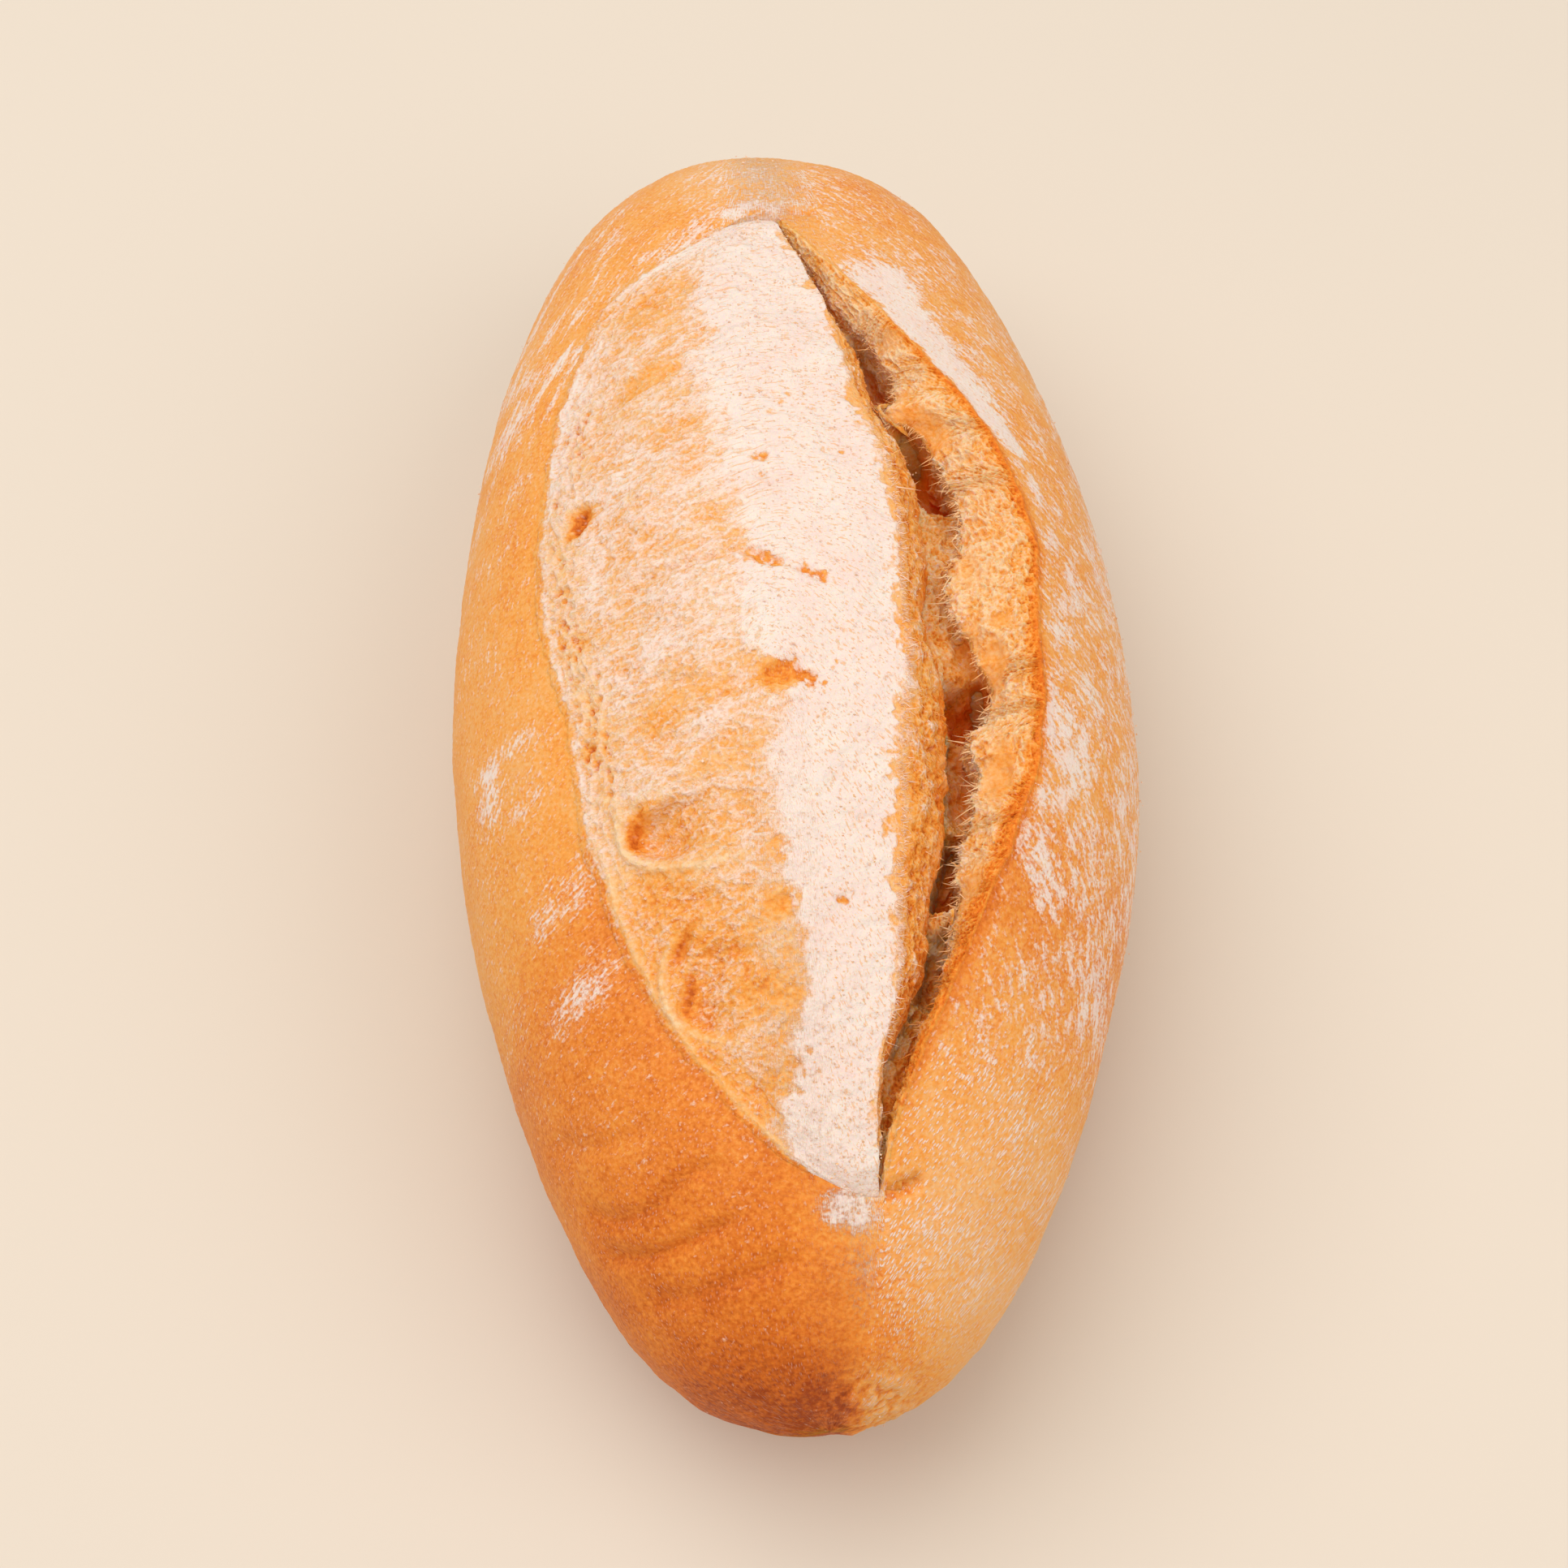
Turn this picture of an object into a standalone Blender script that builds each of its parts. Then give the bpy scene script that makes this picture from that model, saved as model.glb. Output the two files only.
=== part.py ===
"""Bolillo roll: a small oval wheat roll, slashed once along its length and baked open.

The roll lies along Y on a flat base at Z = 0, with its origin under its middle.
Its body is an oval section carried along Y and closed to a rounded point at
each end. The slash has opened into a leaf of bloom whose left side is a seam,
and whose right side rolls over into a torn crack. The far wall of the crack is
open crumb, which climbs to a thin raised ridge of crust.
All sizes are in metres.
"""
import math

import bmesh
import bpy

NAME = "bolillo_roll"
TINY = 1e-9

# Body
LENGTH = 0.1566
WIDTH = 0.0753
CROWN = 0.055           # height of the plain dome, without the leaf's swelling
WAIST = 0.412           # level of the widest line, as a share of the crown
BASE_DEPTH = 1.155      # over 1, so that the base plane cuts the underside off flat
TOP_POWER = 2.1         # roundness of the dome across the roll: 2 is an ellipse
BASE_POWER = 2.6        # roundness of the underside
FAR_POWER = 2.44        # roundness of the plan: blunt at the far end,
NEAR_LEFT_POWER = 2.13      # leaner at the near end,
NEAR_RIGHT_POWER = 1.88     # and leanest on its right side
END_SHARPNESS = 8.0     # how quickly the far plan gives way to the near plan
BEND = 0.0008           # both ends lie this much left of the middle
SWAY = 0.0003           # slow S-curve of the middle line
FOUR_WAVE = 0.025       # low swellings along the roll, as shares of its half width
SIX_WAVE = 0.005

# Slash
NEAR_TIP = -0.0615      # Y of the slash's two tips
FAR_TIP = 0.0555
NEAR_TIP_X = 0.0042     # X of the tips, which a straight line joins
FAR_TIP_X = 0.0003
OPENING_POWER = 0.6     # how quickly the relief dies out towards the tips

# Lines along the slash, from the right side to the left: how far each bows out
# from the line between the tips, the powers that shape its near and far ends,
# its least distance from that line, its height against the plain dome, and the
# number of mesh columns between it and the next line
RIDGE = (0.0243, 1.42, 1.22, 0.0050, 0.0016, 5)
CRUMB_EDGE = (0.0165, 1.42, 1.38, 0.0034, -0.0045, 3)
CRACK_FLOOR = (0.0145, 1.43, 1.40, 0.0025, -0.0095, 3)
CRACK_LIP = (0.0126, 1.44, 1.42, 0.0015, -0.0050, 4)
LEAF_RIM = (0.0084, 1.43, 1.08, 0.0006, 0.0006, 7)
LEAF_CREST = (-0.0080, 0.90, 0.80, 0.0014, 0.0013, 9)
SEAM = (-0.0279, 0.58, 0.47, 0.0040, -0.0010, 10)
LINES = (RIDGE, CRUMB_EDGE, CRACK_FLOOR, CRACK_LIP, LEAF_RIM, LEAF_CREST, SEAM)
FLANK_FADE = 3.0        # power by which the relief dies out down the two flanks

# Mesh
RIGHT_COLUMNS = 12      # from the widest line on the right up to the ridge
TOP_COLUMNS = RIGHT_COLUMNS + sum(line[5] for line in LINES)
BASE_COLUMNS = 23       # round the underside
RINGS = 60              # from end to end


def plan_share(turn, side):
    """Half width of the roll at an angle from its far end, as a share of the greatest.

    The plan is a superellipse. Its power passes from the far end's to the near
    end's, where it also differs between the left (side 0) and the right (side 1).
    """
    along = math.cos(turn)
    near = 1 / (1 + math.exp(along * END_SHARPNESS))
    near_power = NEAR_LEFT_POWER * (1 - side) + NEAR_RIGHT_POWER * side
    power = FAR_POWER * (1 - near) + near_power * near
    oval = max(1 - abs(along) ** power, TINY) ** (1 / power)
    swelling = 1 + FOUR_WAVE * (math.cos(4 * turn) - 1) - SIX_WAVE * (math.cos(6 * turn) + 1)
    return oval * swelling


def middle_x(turn):
    """X of the roll's middle line, which bends a little to the left at both ends."""
    along = math.cos(turn)
    return SWAY * (along ** 3 - along) - BEND * along ** 2


def body_point(turn, angle):
    """Point of the plain body. The angle is 0 at the right side and a quarter turn on top."""
    across, up = math.cos(angle), math.sin(angle)
    share = plan_share(turn, 0.5 + 0.5 * across)
    power = TOP_POWER if up >= 0 else BASE_POWER
    reach = WIDTH / 2 * share * math.copysign(abs(across) ** (2 / power), across)
    rise = CROWN * (1 - WAIST) if up >= 0 else -CROWN * WAIST * BASE_DEPTH
    level = CROWN * WAIST + rise * share * abs(up) ** (2 / power)
    return middle_x(turn) + reach, LENGTH / 2 * math.cos(turn), level


def slash_share(turn):
    """How far along the slash a ring lies, from 0 at the near tip to 1 at the far tip."""
    along = (LENGTH / 2 * math.cos(turn) - NEAR_TIP) / (FAR_TIP - NEAR_TIP)
    return min(max(along, 0.0), 1.0)


def past_tip(turn):
    """How far past a tip a ring lies: 0 along the slash and 1 at the roll's two ends."""
    y = LENGTH / 2 * math.cos(turn)
    beyond_far = (y - FAR_TIP) / (LENGTH / 2 - FAR_TIP)
    beyond_near = (NEAR_TIP - y) / (NEAR_TIP + LENGTH / 2)
    return max(beyond_far, beyond_near, 0.0)


def line_x(line, along):
    """X of one line of the slash: a straight line between the tips plus a bow.

    The bow is a power of the way from each tip, scaled to 1 at its widest, and
    the least distance keeps neighbouring lines apart where the bow runs out.
    """
    bow, near_power, far_power, least = line[:4]
    widest = near_power / (near_power + far_power)
    shape = (along / widest) ** near_power * ((1 - along) / (1 - widest)) ** far_power
    straight = NEAR_TIP_X * (1 - along) + FAR_TIP_X * along
    return straight + math.copysign(math.hypot(bow * shape, least), bow)


def line_angle(line, column, turn):
    """Section angle at which a slash line crosses a ring.

    Past the tips the line leaves its place and fans out, so that the mesh
    columns reach the roll's ends evenly spread over the top.
    """
    along = slash_share(turn)
    held_y = NEAR_TIP + along * (FAR_TIP - NEAR_TIP)
    held_turn = math.acos(2 * held_y / LENGTH)
    x = line_x(line, along) - middle_x(held_turn)
    reach = WIDTH / 2 * plan_share(held_turn, 0.5 + 0.5 * x / (WIDTH / 2))
    across = math.copysign(min(abs(x) / reach, 1.0) ** (TOP_POWER / 2), x)
    fanned = math.pi * column / TOP_COLUMNS
    away = past_tip(turn)
    return math.acos(across) * (1 - away) + fanned * away


def relief(turn):
    """Share of the slash's full relief at a ring: 1 in its middle and 0 at its tips."""
    along = slash_share(turn)
    return (4 * along * (1 - along)) ** OPENING_POWER


def column_stations(turn):
    """Column number, section angle and height at each line that crosses a ring."""
    depth = relief(turn)
    stations = [(0, 0.0, 0.0)]
    column = RIGHT_COLUMNS
    for line in LINES:
        stations.append((column, line_angle(line, column, turn), line[4] * depth))
        column += line[5]
    stations.append((TOP_COLUMNS, math.pi, 0.0))
    stations.append((TOP_COLUMNS + BASE_COLUMNS, 2 * math.pi, 0.0))
    return stations


def roll_point(turn, column):
    """Point of the finished roll on a ring and a mesh column.

    Between two lines the angle runs evenly and the height follows half a cosine
    wave. On the two flanks the height dies out as a power of the way down.
    """
    stations = column_stations(turn)
    index = max(i for i in range(len(stations) - 1) if column >= stations[i][0])
    first, second = stations[index], stations[index + 1]
    way = (column - first[0]) / (second[0] - first[0])
    angle = first[1] + way * (second[1] - first[1])
    if index == 0:
        blend = way ** FLANK_FADE
    elif index == len(LINES):
        blend = 1 - (1 - way) ** FLANK_FADE
    else:
        blend = 0.5 - 0.5 * math.cos(math.pi * way)
    lift = first[2] + blend * (second[2] - first[2])
    x, y, z = body_point(turn, angle)
    return x, y, max(z + lift, 0.0)


def clear_scene():
    """Remove every object that the open file holds."""
    for thing in list(bpy.data.objects):
        bpy.data.objects.remove(thing)


def roll_mesh(name):
    """A globe whose rings and columns are carried onto the roll's own form."""
    columns = TOP_COLUMNS + BASE_COLUMNS
    cage = bmesh.new()
    bmesh.ops.create_uvsphere(cage, u_segments=columns, v_segments=RINGS, radius=1.0)
    for vert in cage.verts:
        turn = math.acos(max(-1.0, min(1.0, -vert.co.z)))
        share = math.atan2(vert.co.y, vert.co.x) / (2 * math.pi)
        column = round(share * columns) % columns
        vert.co = roll_point(turn, column)
    middle_of_box = (max(v.co.x for v in cage.verts) + min(v.co.x for v in cage.verts)) / 2
    bmesh.ops.translate(cage, verts=cage.verts, vec=(-middle_of_box, 0, 0))
    mesh = bpy.data.meshes.new(name)
    cage.to_mesh(mesh)
    cage.free()
    mesh.shade_smooth()
    mesh.set_sharp_from_angle(angle=math.radians(50))
    return mesh


def crust_material():
    """Baked wheat crust: matt, golden orange."""
    material = bpy.data.materials.new("crust")
    material.use_nodes = True
    shader = material.node_tree.nodes["Principled BSDF"]
    shader.inputs["Base Color"].default_value = (0.72, 0.36, 0.12, 1.0)
    shader.inputs["Roughness"].default_value = 0.7
    shader.inputs["Metallic"].default_value = 0.0
    return material


def main():
    clear_scene()
    collection = bpy.data.collections.new(NAME)
    bpy.context.scene.collection.children.link(collection)
    mesh = roll_mesh(NAME)
    mesh.materials.append(crust_material())
    collection.objects.link(bpy.data.objects.new(NAME, mesh))


main()
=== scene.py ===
# %% [markdown]
# # A bolillo, from the dough outwards
# A bolillo is a small oval wheat roll. Before baking it is dusted with flour and slashed
# once along its length. In the oven the slash opens: one side lifts as a thin ear of
# crust, and new dough swells out between the two sides. This file builds that roll as
# five pieces: the crust, the swollen leaf of bloom, the torn crumb beside it, the hairs of
# stretched crumb, and the loose grains of flour.

# %% Load the frame
import math

import bpy
import numpy as np
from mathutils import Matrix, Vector


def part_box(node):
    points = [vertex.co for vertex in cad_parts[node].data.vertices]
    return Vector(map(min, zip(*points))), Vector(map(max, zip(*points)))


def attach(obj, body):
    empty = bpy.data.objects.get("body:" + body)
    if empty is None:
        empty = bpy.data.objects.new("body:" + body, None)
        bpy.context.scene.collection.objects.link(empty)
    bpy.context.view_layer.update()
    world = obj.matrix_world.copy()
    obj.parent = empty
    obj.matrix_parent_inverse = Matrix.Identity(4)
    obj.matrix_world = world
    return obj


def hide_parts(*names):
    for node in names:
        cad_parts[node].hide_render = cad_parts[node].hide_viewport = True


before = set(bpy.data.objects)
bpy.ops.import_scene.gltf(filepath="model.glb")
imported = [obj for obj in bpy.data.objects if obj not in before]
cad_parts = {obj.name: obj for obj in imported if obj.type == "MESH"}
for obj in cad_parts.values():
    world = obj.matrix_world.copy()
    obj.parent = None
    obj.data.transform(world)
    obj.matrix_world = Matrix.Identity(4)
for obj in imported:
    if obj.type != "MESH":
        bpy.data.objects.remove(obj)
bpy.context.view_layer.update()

NODE = "bolillo_roll"
MM = 0.001

# %% [markdown]
# ## The driving sizes
# Everything is worked out in millimetres and made metres only when a mesh is stored. The
# three outer sizes come from the frame. The others say how the dough is shaped: how flat
# it sits, how lean each end is, and where the slash starts and stops.

# %% Body sizes
low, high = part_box(NODE)
HALF_LENGTH = (high.y - low.y) / 2 / MM
HALF_WIDTH = (high.x - low.x) / 2 / MM
LEAF_SWELLING = 1.15        # how far the leaf's top stands above the plain dome
CROWN = high.z / MM - LEAF_SWELLING
WAIST = 0.412               # level of the widest line, as a share of the crown
BASE_DEPTH = 1.155          # over 1: the base plane cuts the underside off flat
TOP_POWER, BASE_POWER = 2.1, 2.6
FAR_POWER, NEAR_LEFT_POWER, NEAR_RIGHT_POWER = 2.44, 2.13, 1.88
END_SHARPNESS = 8.0         # how quickly the far plan gives way to the near plan
BEND, SWAY = 0.8, 0.3       # how the middle line leaves the straight
FOUR_WAVE, SIX_WAVE = 0.025, 0.005      # slow waves of the plan, as shares of its half width
NEAR_TIP, FAR_TIP = -61.5, 55.5         # Y of the slash's tips
NEAR_TIP_X, FAR_TIP_X = 4.2, 0.3        # X of the tips, which a straight line joins
OPENING_POWER = 0.6         # how quickly the relief dies out towards the tips
print("half length %.1f, half width %.2f, crown %.2f mm" % (HALF_LENGTH, HALF_WIDTH, CROWN))

# %% [markdown]
# ## Small helpers for whole arrays
# Numpy works on all points of a surface at once, so each helper takes arrays. An eased
# step blends two states without a visible line. An oval measures how far a point lies
# from a feature's middle, in units of the feature's own size. A bell fades a feature out
# on both sides.

# %% Steps, bells and ovals
TINY = 1e-9                 # keeps a division or a root away from nothing


def smooth(start, end, value):
    """0 before start and 1 past end, eased between as 3t² - 2t³."""
    t = np.clip((value - start) / (end - start), 0, 1)
    return t * t * (3 - 2 * t)


def bell(value, half):
    """1 at zero, falling on both sides as e to the power -(value / half)²."""
    return np.exp(-(value / half) ** 2)


def turned(x, y, degrees):
    """The same place measured along and across a direction, in degrees from +X."""
    cosine, sine = math.cos(math.radians(degrees)), math.sin(math.radians(degrees))
    return cosine * x + sine * y, cosine * y - sine * x


def oval(x, y, middle, half, degrees=0.0):
    """Distance from an oval's middle, 1 on its edge: the root of (a/A)² + (b/B)²."""
    along, across = turned(x - middle[0], y - middle[1], degrees)
    return np.hypot(along / half[0], across / half[1])


def blots(x, y, spots):
    """Sum of soft ovals, each (x, y, half length, half width, degrees, amount).

    Each one is its amount times e to the power -r⁴, where r is 1 on the oval's edge.
    """
    total = np.zeros(np.broadcast(x, y).shape)
    for spot_x, spot_y, long, wide, degrees, amount in spots:
        total += amount * np.exp(-oval(x, y, (spot_x, spot_y), (long, wide), degrees) ** 4)
    return total


print("eased step at a quarter:", float(smooth(0, 1, np.float64(0.25))))

# %% [markdown]
# ### Curves through a few points
# A fold, a rim or a wiped streak follows a curve. A few points on it are enough, because a
# Catmull-Rom cubic passes smoothly through them all. The distance from the curve then says
# how strongly a place feels it, which a Bezier object in the scene couldn't tell an array.

# %% Curves
CURVE_STEPS = 8             # straight steps in each stretch of a curve
FAR_OFF = 9.0               # distance, in a feature's own units, at which it isn't felt


def through(points):
    """A smooth curve through a few points: each stretch is a Catmull-Rom cubic."""
    p = np.array(points, float)
    p = np.concatenate([[2 * p[0] - p[1]], p, [2 * p[-1] - p[-2]]])
    t = np.linspace(0, 1, CURVE_STEPS, endpoint=False)[:, None]
    runs = []
    for a, b, c, d in zip(p[:-3], p[1:-2], p[2:-1], p[3:]):
        bend = 2 * a - 5 * b + 4 * c - d + t * (3 * (b - c) + d - a)
        runs.append(b + 0.5 * t * (c - a + t * bend))
    return np.concatenate(runs + [p[-2:-1]])


def from_curve(x, y, points, reach):
    """Distance to a curve in units of reach, FAR_OFF at most, and the share of the way along it."""
    path = through(points)
    distance = np.full(x.shape, FAR_OFF)
    share = np.zeros(x.shape)
    box = [(axis.min() - FAR_OFF * reach, axis.max() + FAR_OFF * reach) for axis in path.T]
    near = (x > box[0][0]) & (x < box[0][1]) & (y > box[1][0]) & (y < box[1][1])
    near_x, near_y = x[near], y[near]
    best = np.full(near_x.shape, FAR_OFF)
    where = np.zeros(near_x.shape)
    for number, (start, end) in enumerate(zip(path[:-1], path[1:])):
        step = end - start
        off_x, off_y = near_x - start[0], near_y - start[1]
        t = np.clip((off_x * step[0] + off_y * step[1]) / (step @ step), 0, 1)
        gap = np.hypot(off_x - t * step[0], off_y - t * step[1]) / reach
        where = np.where(gap < best, (number + t) / (len(path) - 1), where)
        best = np.minimum(best, gap)
    distance[near], share[near] = best, where
    return distance, share


def ribbon(x, y, points, half, amount, start, end):
    """A bell across a curve, which starts over 1/start of its length and ends over 1/end of it."""
    gap, share = from_curve(x, y, points, half)
    return amount * bell(gap, 1) * np.clip(start * share, 0, 1) * np.clip(end - end * share, 0, 1)


print("a curve through three points has %d points" % len(through(((0, 0), (1, 1), (2, 0)))))

# %% [markdown]
# ## Randomness that repeats
# Bread is uneven at every scale. Gradient noise gives soft bumps: each corner of a
# lattice gets a random slope, and the slopes are blended. Cell noise gives bubbles: each
# lattice cell gets one random point, and the distance to the nearest point is small
# inside a bubble and large on the wall between two. Both hash whole numbers, so every
# run gives the same roll.


# %% Noise
MASK = 0xFFFFFFFF                               # keeps the lowest 32 bits
FIRST_MIX, SECOND_MIX = 0x9E3779B1, 0x85EBCA6B  # odd numbers that spread bits well
NOISE_GAIN = 1.7                                # brings gradient noise to about -1 to 1


def scramble(cells, seed):
    """A repeatable random 32-bit number for each row of whole numbers."""
    mixed = np.full(cells.shape[:-1], seed * 7919 + 17, np.int64)
    for axis in range(cells.shape[-1]):
        mixed = ((mixed ^ (cells[..., axis] & MASK)) * FIRST_MIX) & MASK
        mixed = ((mixed ^ (mixed >> 15)) * SECOND_MIX) & MASK
        mixed ^= mixed >> 13
    return mixed


def noise(points, size, seed):
    """Gradient noise from about -1 to 1, with bumps about one size across."""
    place = points / np.asarray(size, float)
    cell = np.floor(place).astype(np.int64)
    part = place - cell
    ease = part ** 3 * (part * (part * 6 - 15) + 10)
    total = np.zeros(place.shape[:-1])
    for corner in np.ndindex(*(2,) * place.shape[-1]):
        bits = scramble(cell + np.array(corner), seed)
        weight = np.ones(total.shape)
        slope = np.zeros(total.shape)
        for axis, side in enumerate(corner):
            weight *= ease[..., axis] if side else 1 - ease[..., axis]
            slope += ((bits >> 8 * axis & 255) / 127.5 - 1) * (part[..., axis] - side)
        total += weight * slope
    return total * NOISE_GAIN


def line_noise(y, size, seed):
    """Gradient noise along a line: one number for each Y."""
    return noise(np.stack([y, 0 * y], -1), size, seed)


def layered(points, size, seed):
    """Noise of three sizes, each half the last and half as strong."""
    return sum(0.5 ** k * noise(points, np.asarray(size) / 2 ** k, seed + k) for k in range(3))


def bubbles(places, size, seed):
    """Distance to the nearest and to the second nearest of scattered points, in cells."""
    place = places / np.asarray(size, float)
    home = np.floor(place).astype(np.int64)
    near = np.full(place.shape[:-1], FAR_OFF)
    second = near.copy()
    for step in np.ndindex(3, 3):
        cell = home + np.array(step) - 1
        bits = scramble(cell, seed)
        centre = cell + np.stack([bits & 0xFFFF, bits >> 16], -1) / 65535
        gap = np.linalg.norm(centre - place, axis=-1)
        second = np.minimum(second, np.maximum(near, gap))
        near = np.minimum(near, gap)
    return near, second


trial = noise(np.random.default_rng(1).uniform(0, 50, (4000, 3)), 3.0, 5)
print("noise spread %.2f, from %.2f to %.2f" % (trial.std(), trial.min(), trial.max()))

# %% [markdown]
# ## The plain loaf
# A shaped roll is close to an oval section carried from end to end. Its plan is a
# superellipse, a curve between an ellipse and a box, and its section is another one. The
# same formulas shaped the solid, so the dressed roll lies exactly on it.


# %% Body formulas
SOLVER_STEPS = 4            # enough for a thousandth of a millimetre


def plan_share(turn, side):
    """Half width at an angle from the far end, as a share of the greatest.

    The plan is (1 - |cos|^n)^(1/n) times two slow waves. Its power n passes from the
    far end's to the near end's, which differs from the left (side 0) to the right (1).
    """
    along = np.cos(turn)
    near = 1 / (1 + np.exp(along * END_SHARPNESS))
    near_power = NEAR_LEFT_POWER * (1 - side) + NEAR_RIGHT_POWER * side
    power = FAR_POWER * (1 - near) + near_power * near
    plan = np.maximum(1 - np.abs(along) ** power, TINY) ** (1 / power)
    waves = FOUR_WAVE * (np.cos(4 * turn) - 1) - SIX_WAVE * (np.cos(6 * turn) + 1)
    return plan * (1 + waves)


def middle_x(turn):
    """X of the middle line: a slow S-curve with both ends a little to the left."""
    along = np.cos(turn)
    return SWAY * (along ** 3 - along) - BEND * along ** 2


def body_points(turn, angle):
    """X, Y and Z of the plain loaf. The angle is 0 on the right side and a quarter turn on top."""
    across, up = np.cos(angle), np.sin(angle)
    share = plan_share(turn, 0.5 + 0.5 * across)
    power = np.where(up >= 0, TOP_POWER, BASE_POWER)
    x = middle_x(turn) + HALF_WIDTH * share * np.sign(across) * np.abs(across) ** (2 / power)
    rise = np.where(up >= 0, CROWN * (1 - WAIST), -CROWN * WAIST * BASE_DEPTH)
    z = CROWN * WAIST + rise * share * np.abs(up) ** (2 / power)
    return x, HALF_LENGTH * np.cos(turn) + 0 * x, z


def turn_at(y):
    """Angle from the far end at which a section lies at Y."""
    return np.arccos(np.clip(y / HALF_LENGTH, -1, 1))


def angle_at(x, y):
    """Section angle of the dome above a place: the inverse of body_points, in SOLVER_STEPS steps."""
    turn = turn_at(y)
    side = 0.5 + 0.5 * np.clip(x / HALF_WIDTH, -1, 1)
    for _ in range(SOLVER_STEPS):
        reach = (x - middle_x(turn)) / (HALF_WIDTH * plan_share(turn, side))
        across = np.sign(reach) * np.minimum(np.abs(reach), 1.0) ** (TOP_POWER / 2)
        side = 0.5 + 0.5 * across
    return np.arccos(across)


def dome(x, y):
    """Height of the plain loaf's top above a place."""
    return body_points(turn_at(y), angle_at(x, y))[2]


print("dome over the middle: %.2f mm" % dome(np.array(0.0), np.array(0.0)))

# %% [markdown]
# ## The lines of the slash
# Five lines run from tip to tip and divide the opening: the seam on the left, the leaf's
# rim, the lip where the leaf turns under, the torn edge of the crumb and the ear. Each is
# a straight line plus a bow, and a few small bends, because a baker's blade and the oven
# never follow a formula.

# %% Slash lines
# Each line: bow, power of its near end, power of its far end, least distance from the
# straight line, raggedness, and bends as (Y, shift, half length)
EAR = (24.3, 1.42, 1.22, 0.9, 0.30, ((48, -1.2, 9), (34, -1.8, 9), (-4, -1.6, 9), (-32, -0.3, 7)))
TORN_EDGE = (17.3, 1.43, 1.38, 0.5, 0.0, (
    (32, 0.9, 4), (24, -3.2, 2.0), (15, 0.5, 3), (0, -3.7, 7),
    (-16.2, -2.0, 2.6), (-27, -1.0, 7), (-41, 0.7, 4)))
LIP = (12.6, 1.44, 1.42, -0.1, 0.0, (
    (33, 1.2, 5), (16, 1.2, 5), (-2.5, -1.5, 6), (-26, 0.8, 4), (-40, 0.7, 6), (-50.5, -1.3, 4)))
RIM = (8.4, 1.43, 1.08, -0.4, 0.0, (
    (27, -1.2, 7), (11, 0.5, 5), (-18, -0.7, 6), (-44, 0.7, 5), (-54, -0.6, 4)))
SEAM = (-27.9, 0.58, 0.47, 0.9, 0.36, ((52, 4.0, 4), (44, -0.8, 5), (-12, 1.3, 9), (-41, -0.7, 9)))
BENDS_FROM = 0.3            # share of the bow from which the bends have their full shift


def on_slash(y):
    """Y held between the two tips of the slash."""
    return np.clip(y, NEAR_TIP, FAR_TIP)


def along_slash(y):
    """Share of the way from the near tip to the far tip, held at 0 and 1 beyond them."""
    return np.clip((y - NEAR_TIP) / (FAR_TIP - NEAR_TIP), 0, 1)


def opening(y):
    """How far the slash has opened: 1 in its middle and 0 at its tips."""
    along = along_slash(y)
    return (4 * along * (1 - along)) ** OPENING_POWER


def line_x(line, y):
    """X of a slash line: the line between the tips, plus its bow, its bends and its raggedness.

    The bow is a power of the way from each tip, scaled to 1 where it is widest.
    """
    bow, near_power, far_power, least, ragged, bends = line
    along = along_slash(y)
    widest = near_power / (near_power + far_power)
    shape = (along / widest) ** near_power * ((1 - along) / (1 - widest)) ** far_power
    straight = NEAR_TIP_X * (1 - along) + FAR_TIP_X * along
    bent = sum(shift * bell(y - place, half) for place, shift, half in bends)
    if ragged:
        bent = bent + ragged * (line_noise(y, 4.5, 13) + 0.6 * line_noise(y, 1.7, 14))
    return straight + np.sign(bow) * np.hypot(bow * shape, least) + bent * smooth(0, BENDS_FROM, shape)


for name, line in (("seam", SEAM), ("rim", RIM), ("ear", EAR)):
    print(name, "at the middle: %.1f mm" % line_x(line, np.zeros(1))[0])

# %% [markdown]
# ## Grids, and how they become meshes
# Each piece is a loft: a closed section carried along Y. Its rows are sections and its
# columns run round them, so the whole piece is one array of points. The ends are closed
# to a pole point. A loft could also be made with a Screw or a Skin modifier, but only a
# grid lets every point know where on the roll it lies, which the relief needs.


# %% Loft helpers
SHARP_ANGLE = math.radians(55)          # edges that turn by more than this stay crisp


def bands(stations, counts):
    """Fill in columns between station columns: counts[i] even steps from one to the next."""
    parts = []
    for start, end, count in zip(stations[:-1], stations[1:], counts):
        share = np.arange(count) / count
        parts.append(start[:, None] * (1 - share) + end[:, None] * share)
    return np.concatenate(parts, axis=1)


def normals_of(points):
    """Unit normal at each grid point: the cross product of the steps along and across."""
    along = np.gradient(points, axis=0)
    wrapped = np.concatenate([points[:, -1:], points, points[:, :1]], axis=1)
    across = (wrapped[:, 2:] - wrapped[:, :-2]) / 2
    normal = np.cross(along, across)
    normal /= np.maximum(np.linalg.norm(normal, axis=-1, keepdims=True), TINY)
    outward = points - points.mean(axis=1, keepdims=True)
    return normal * np.sign(np.sum(normal * outward))


def six_times_volume(points, faces):
    """Signed volume of a closed triangle mesh, times six: the sum of a · (b × c)."""
    a, b, c = (points[faces[:, k]] for k in range(3))
    return np.sum(a * np.cross(b, c))


def in_scene(name, data):
    """A new object that shows a mesh, a lamp or a camera, at the origin."""
    made = bpy.data.objects.new(name, data)
    bpy.context.scene.collection.objects.link(made)
    return made


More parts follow.
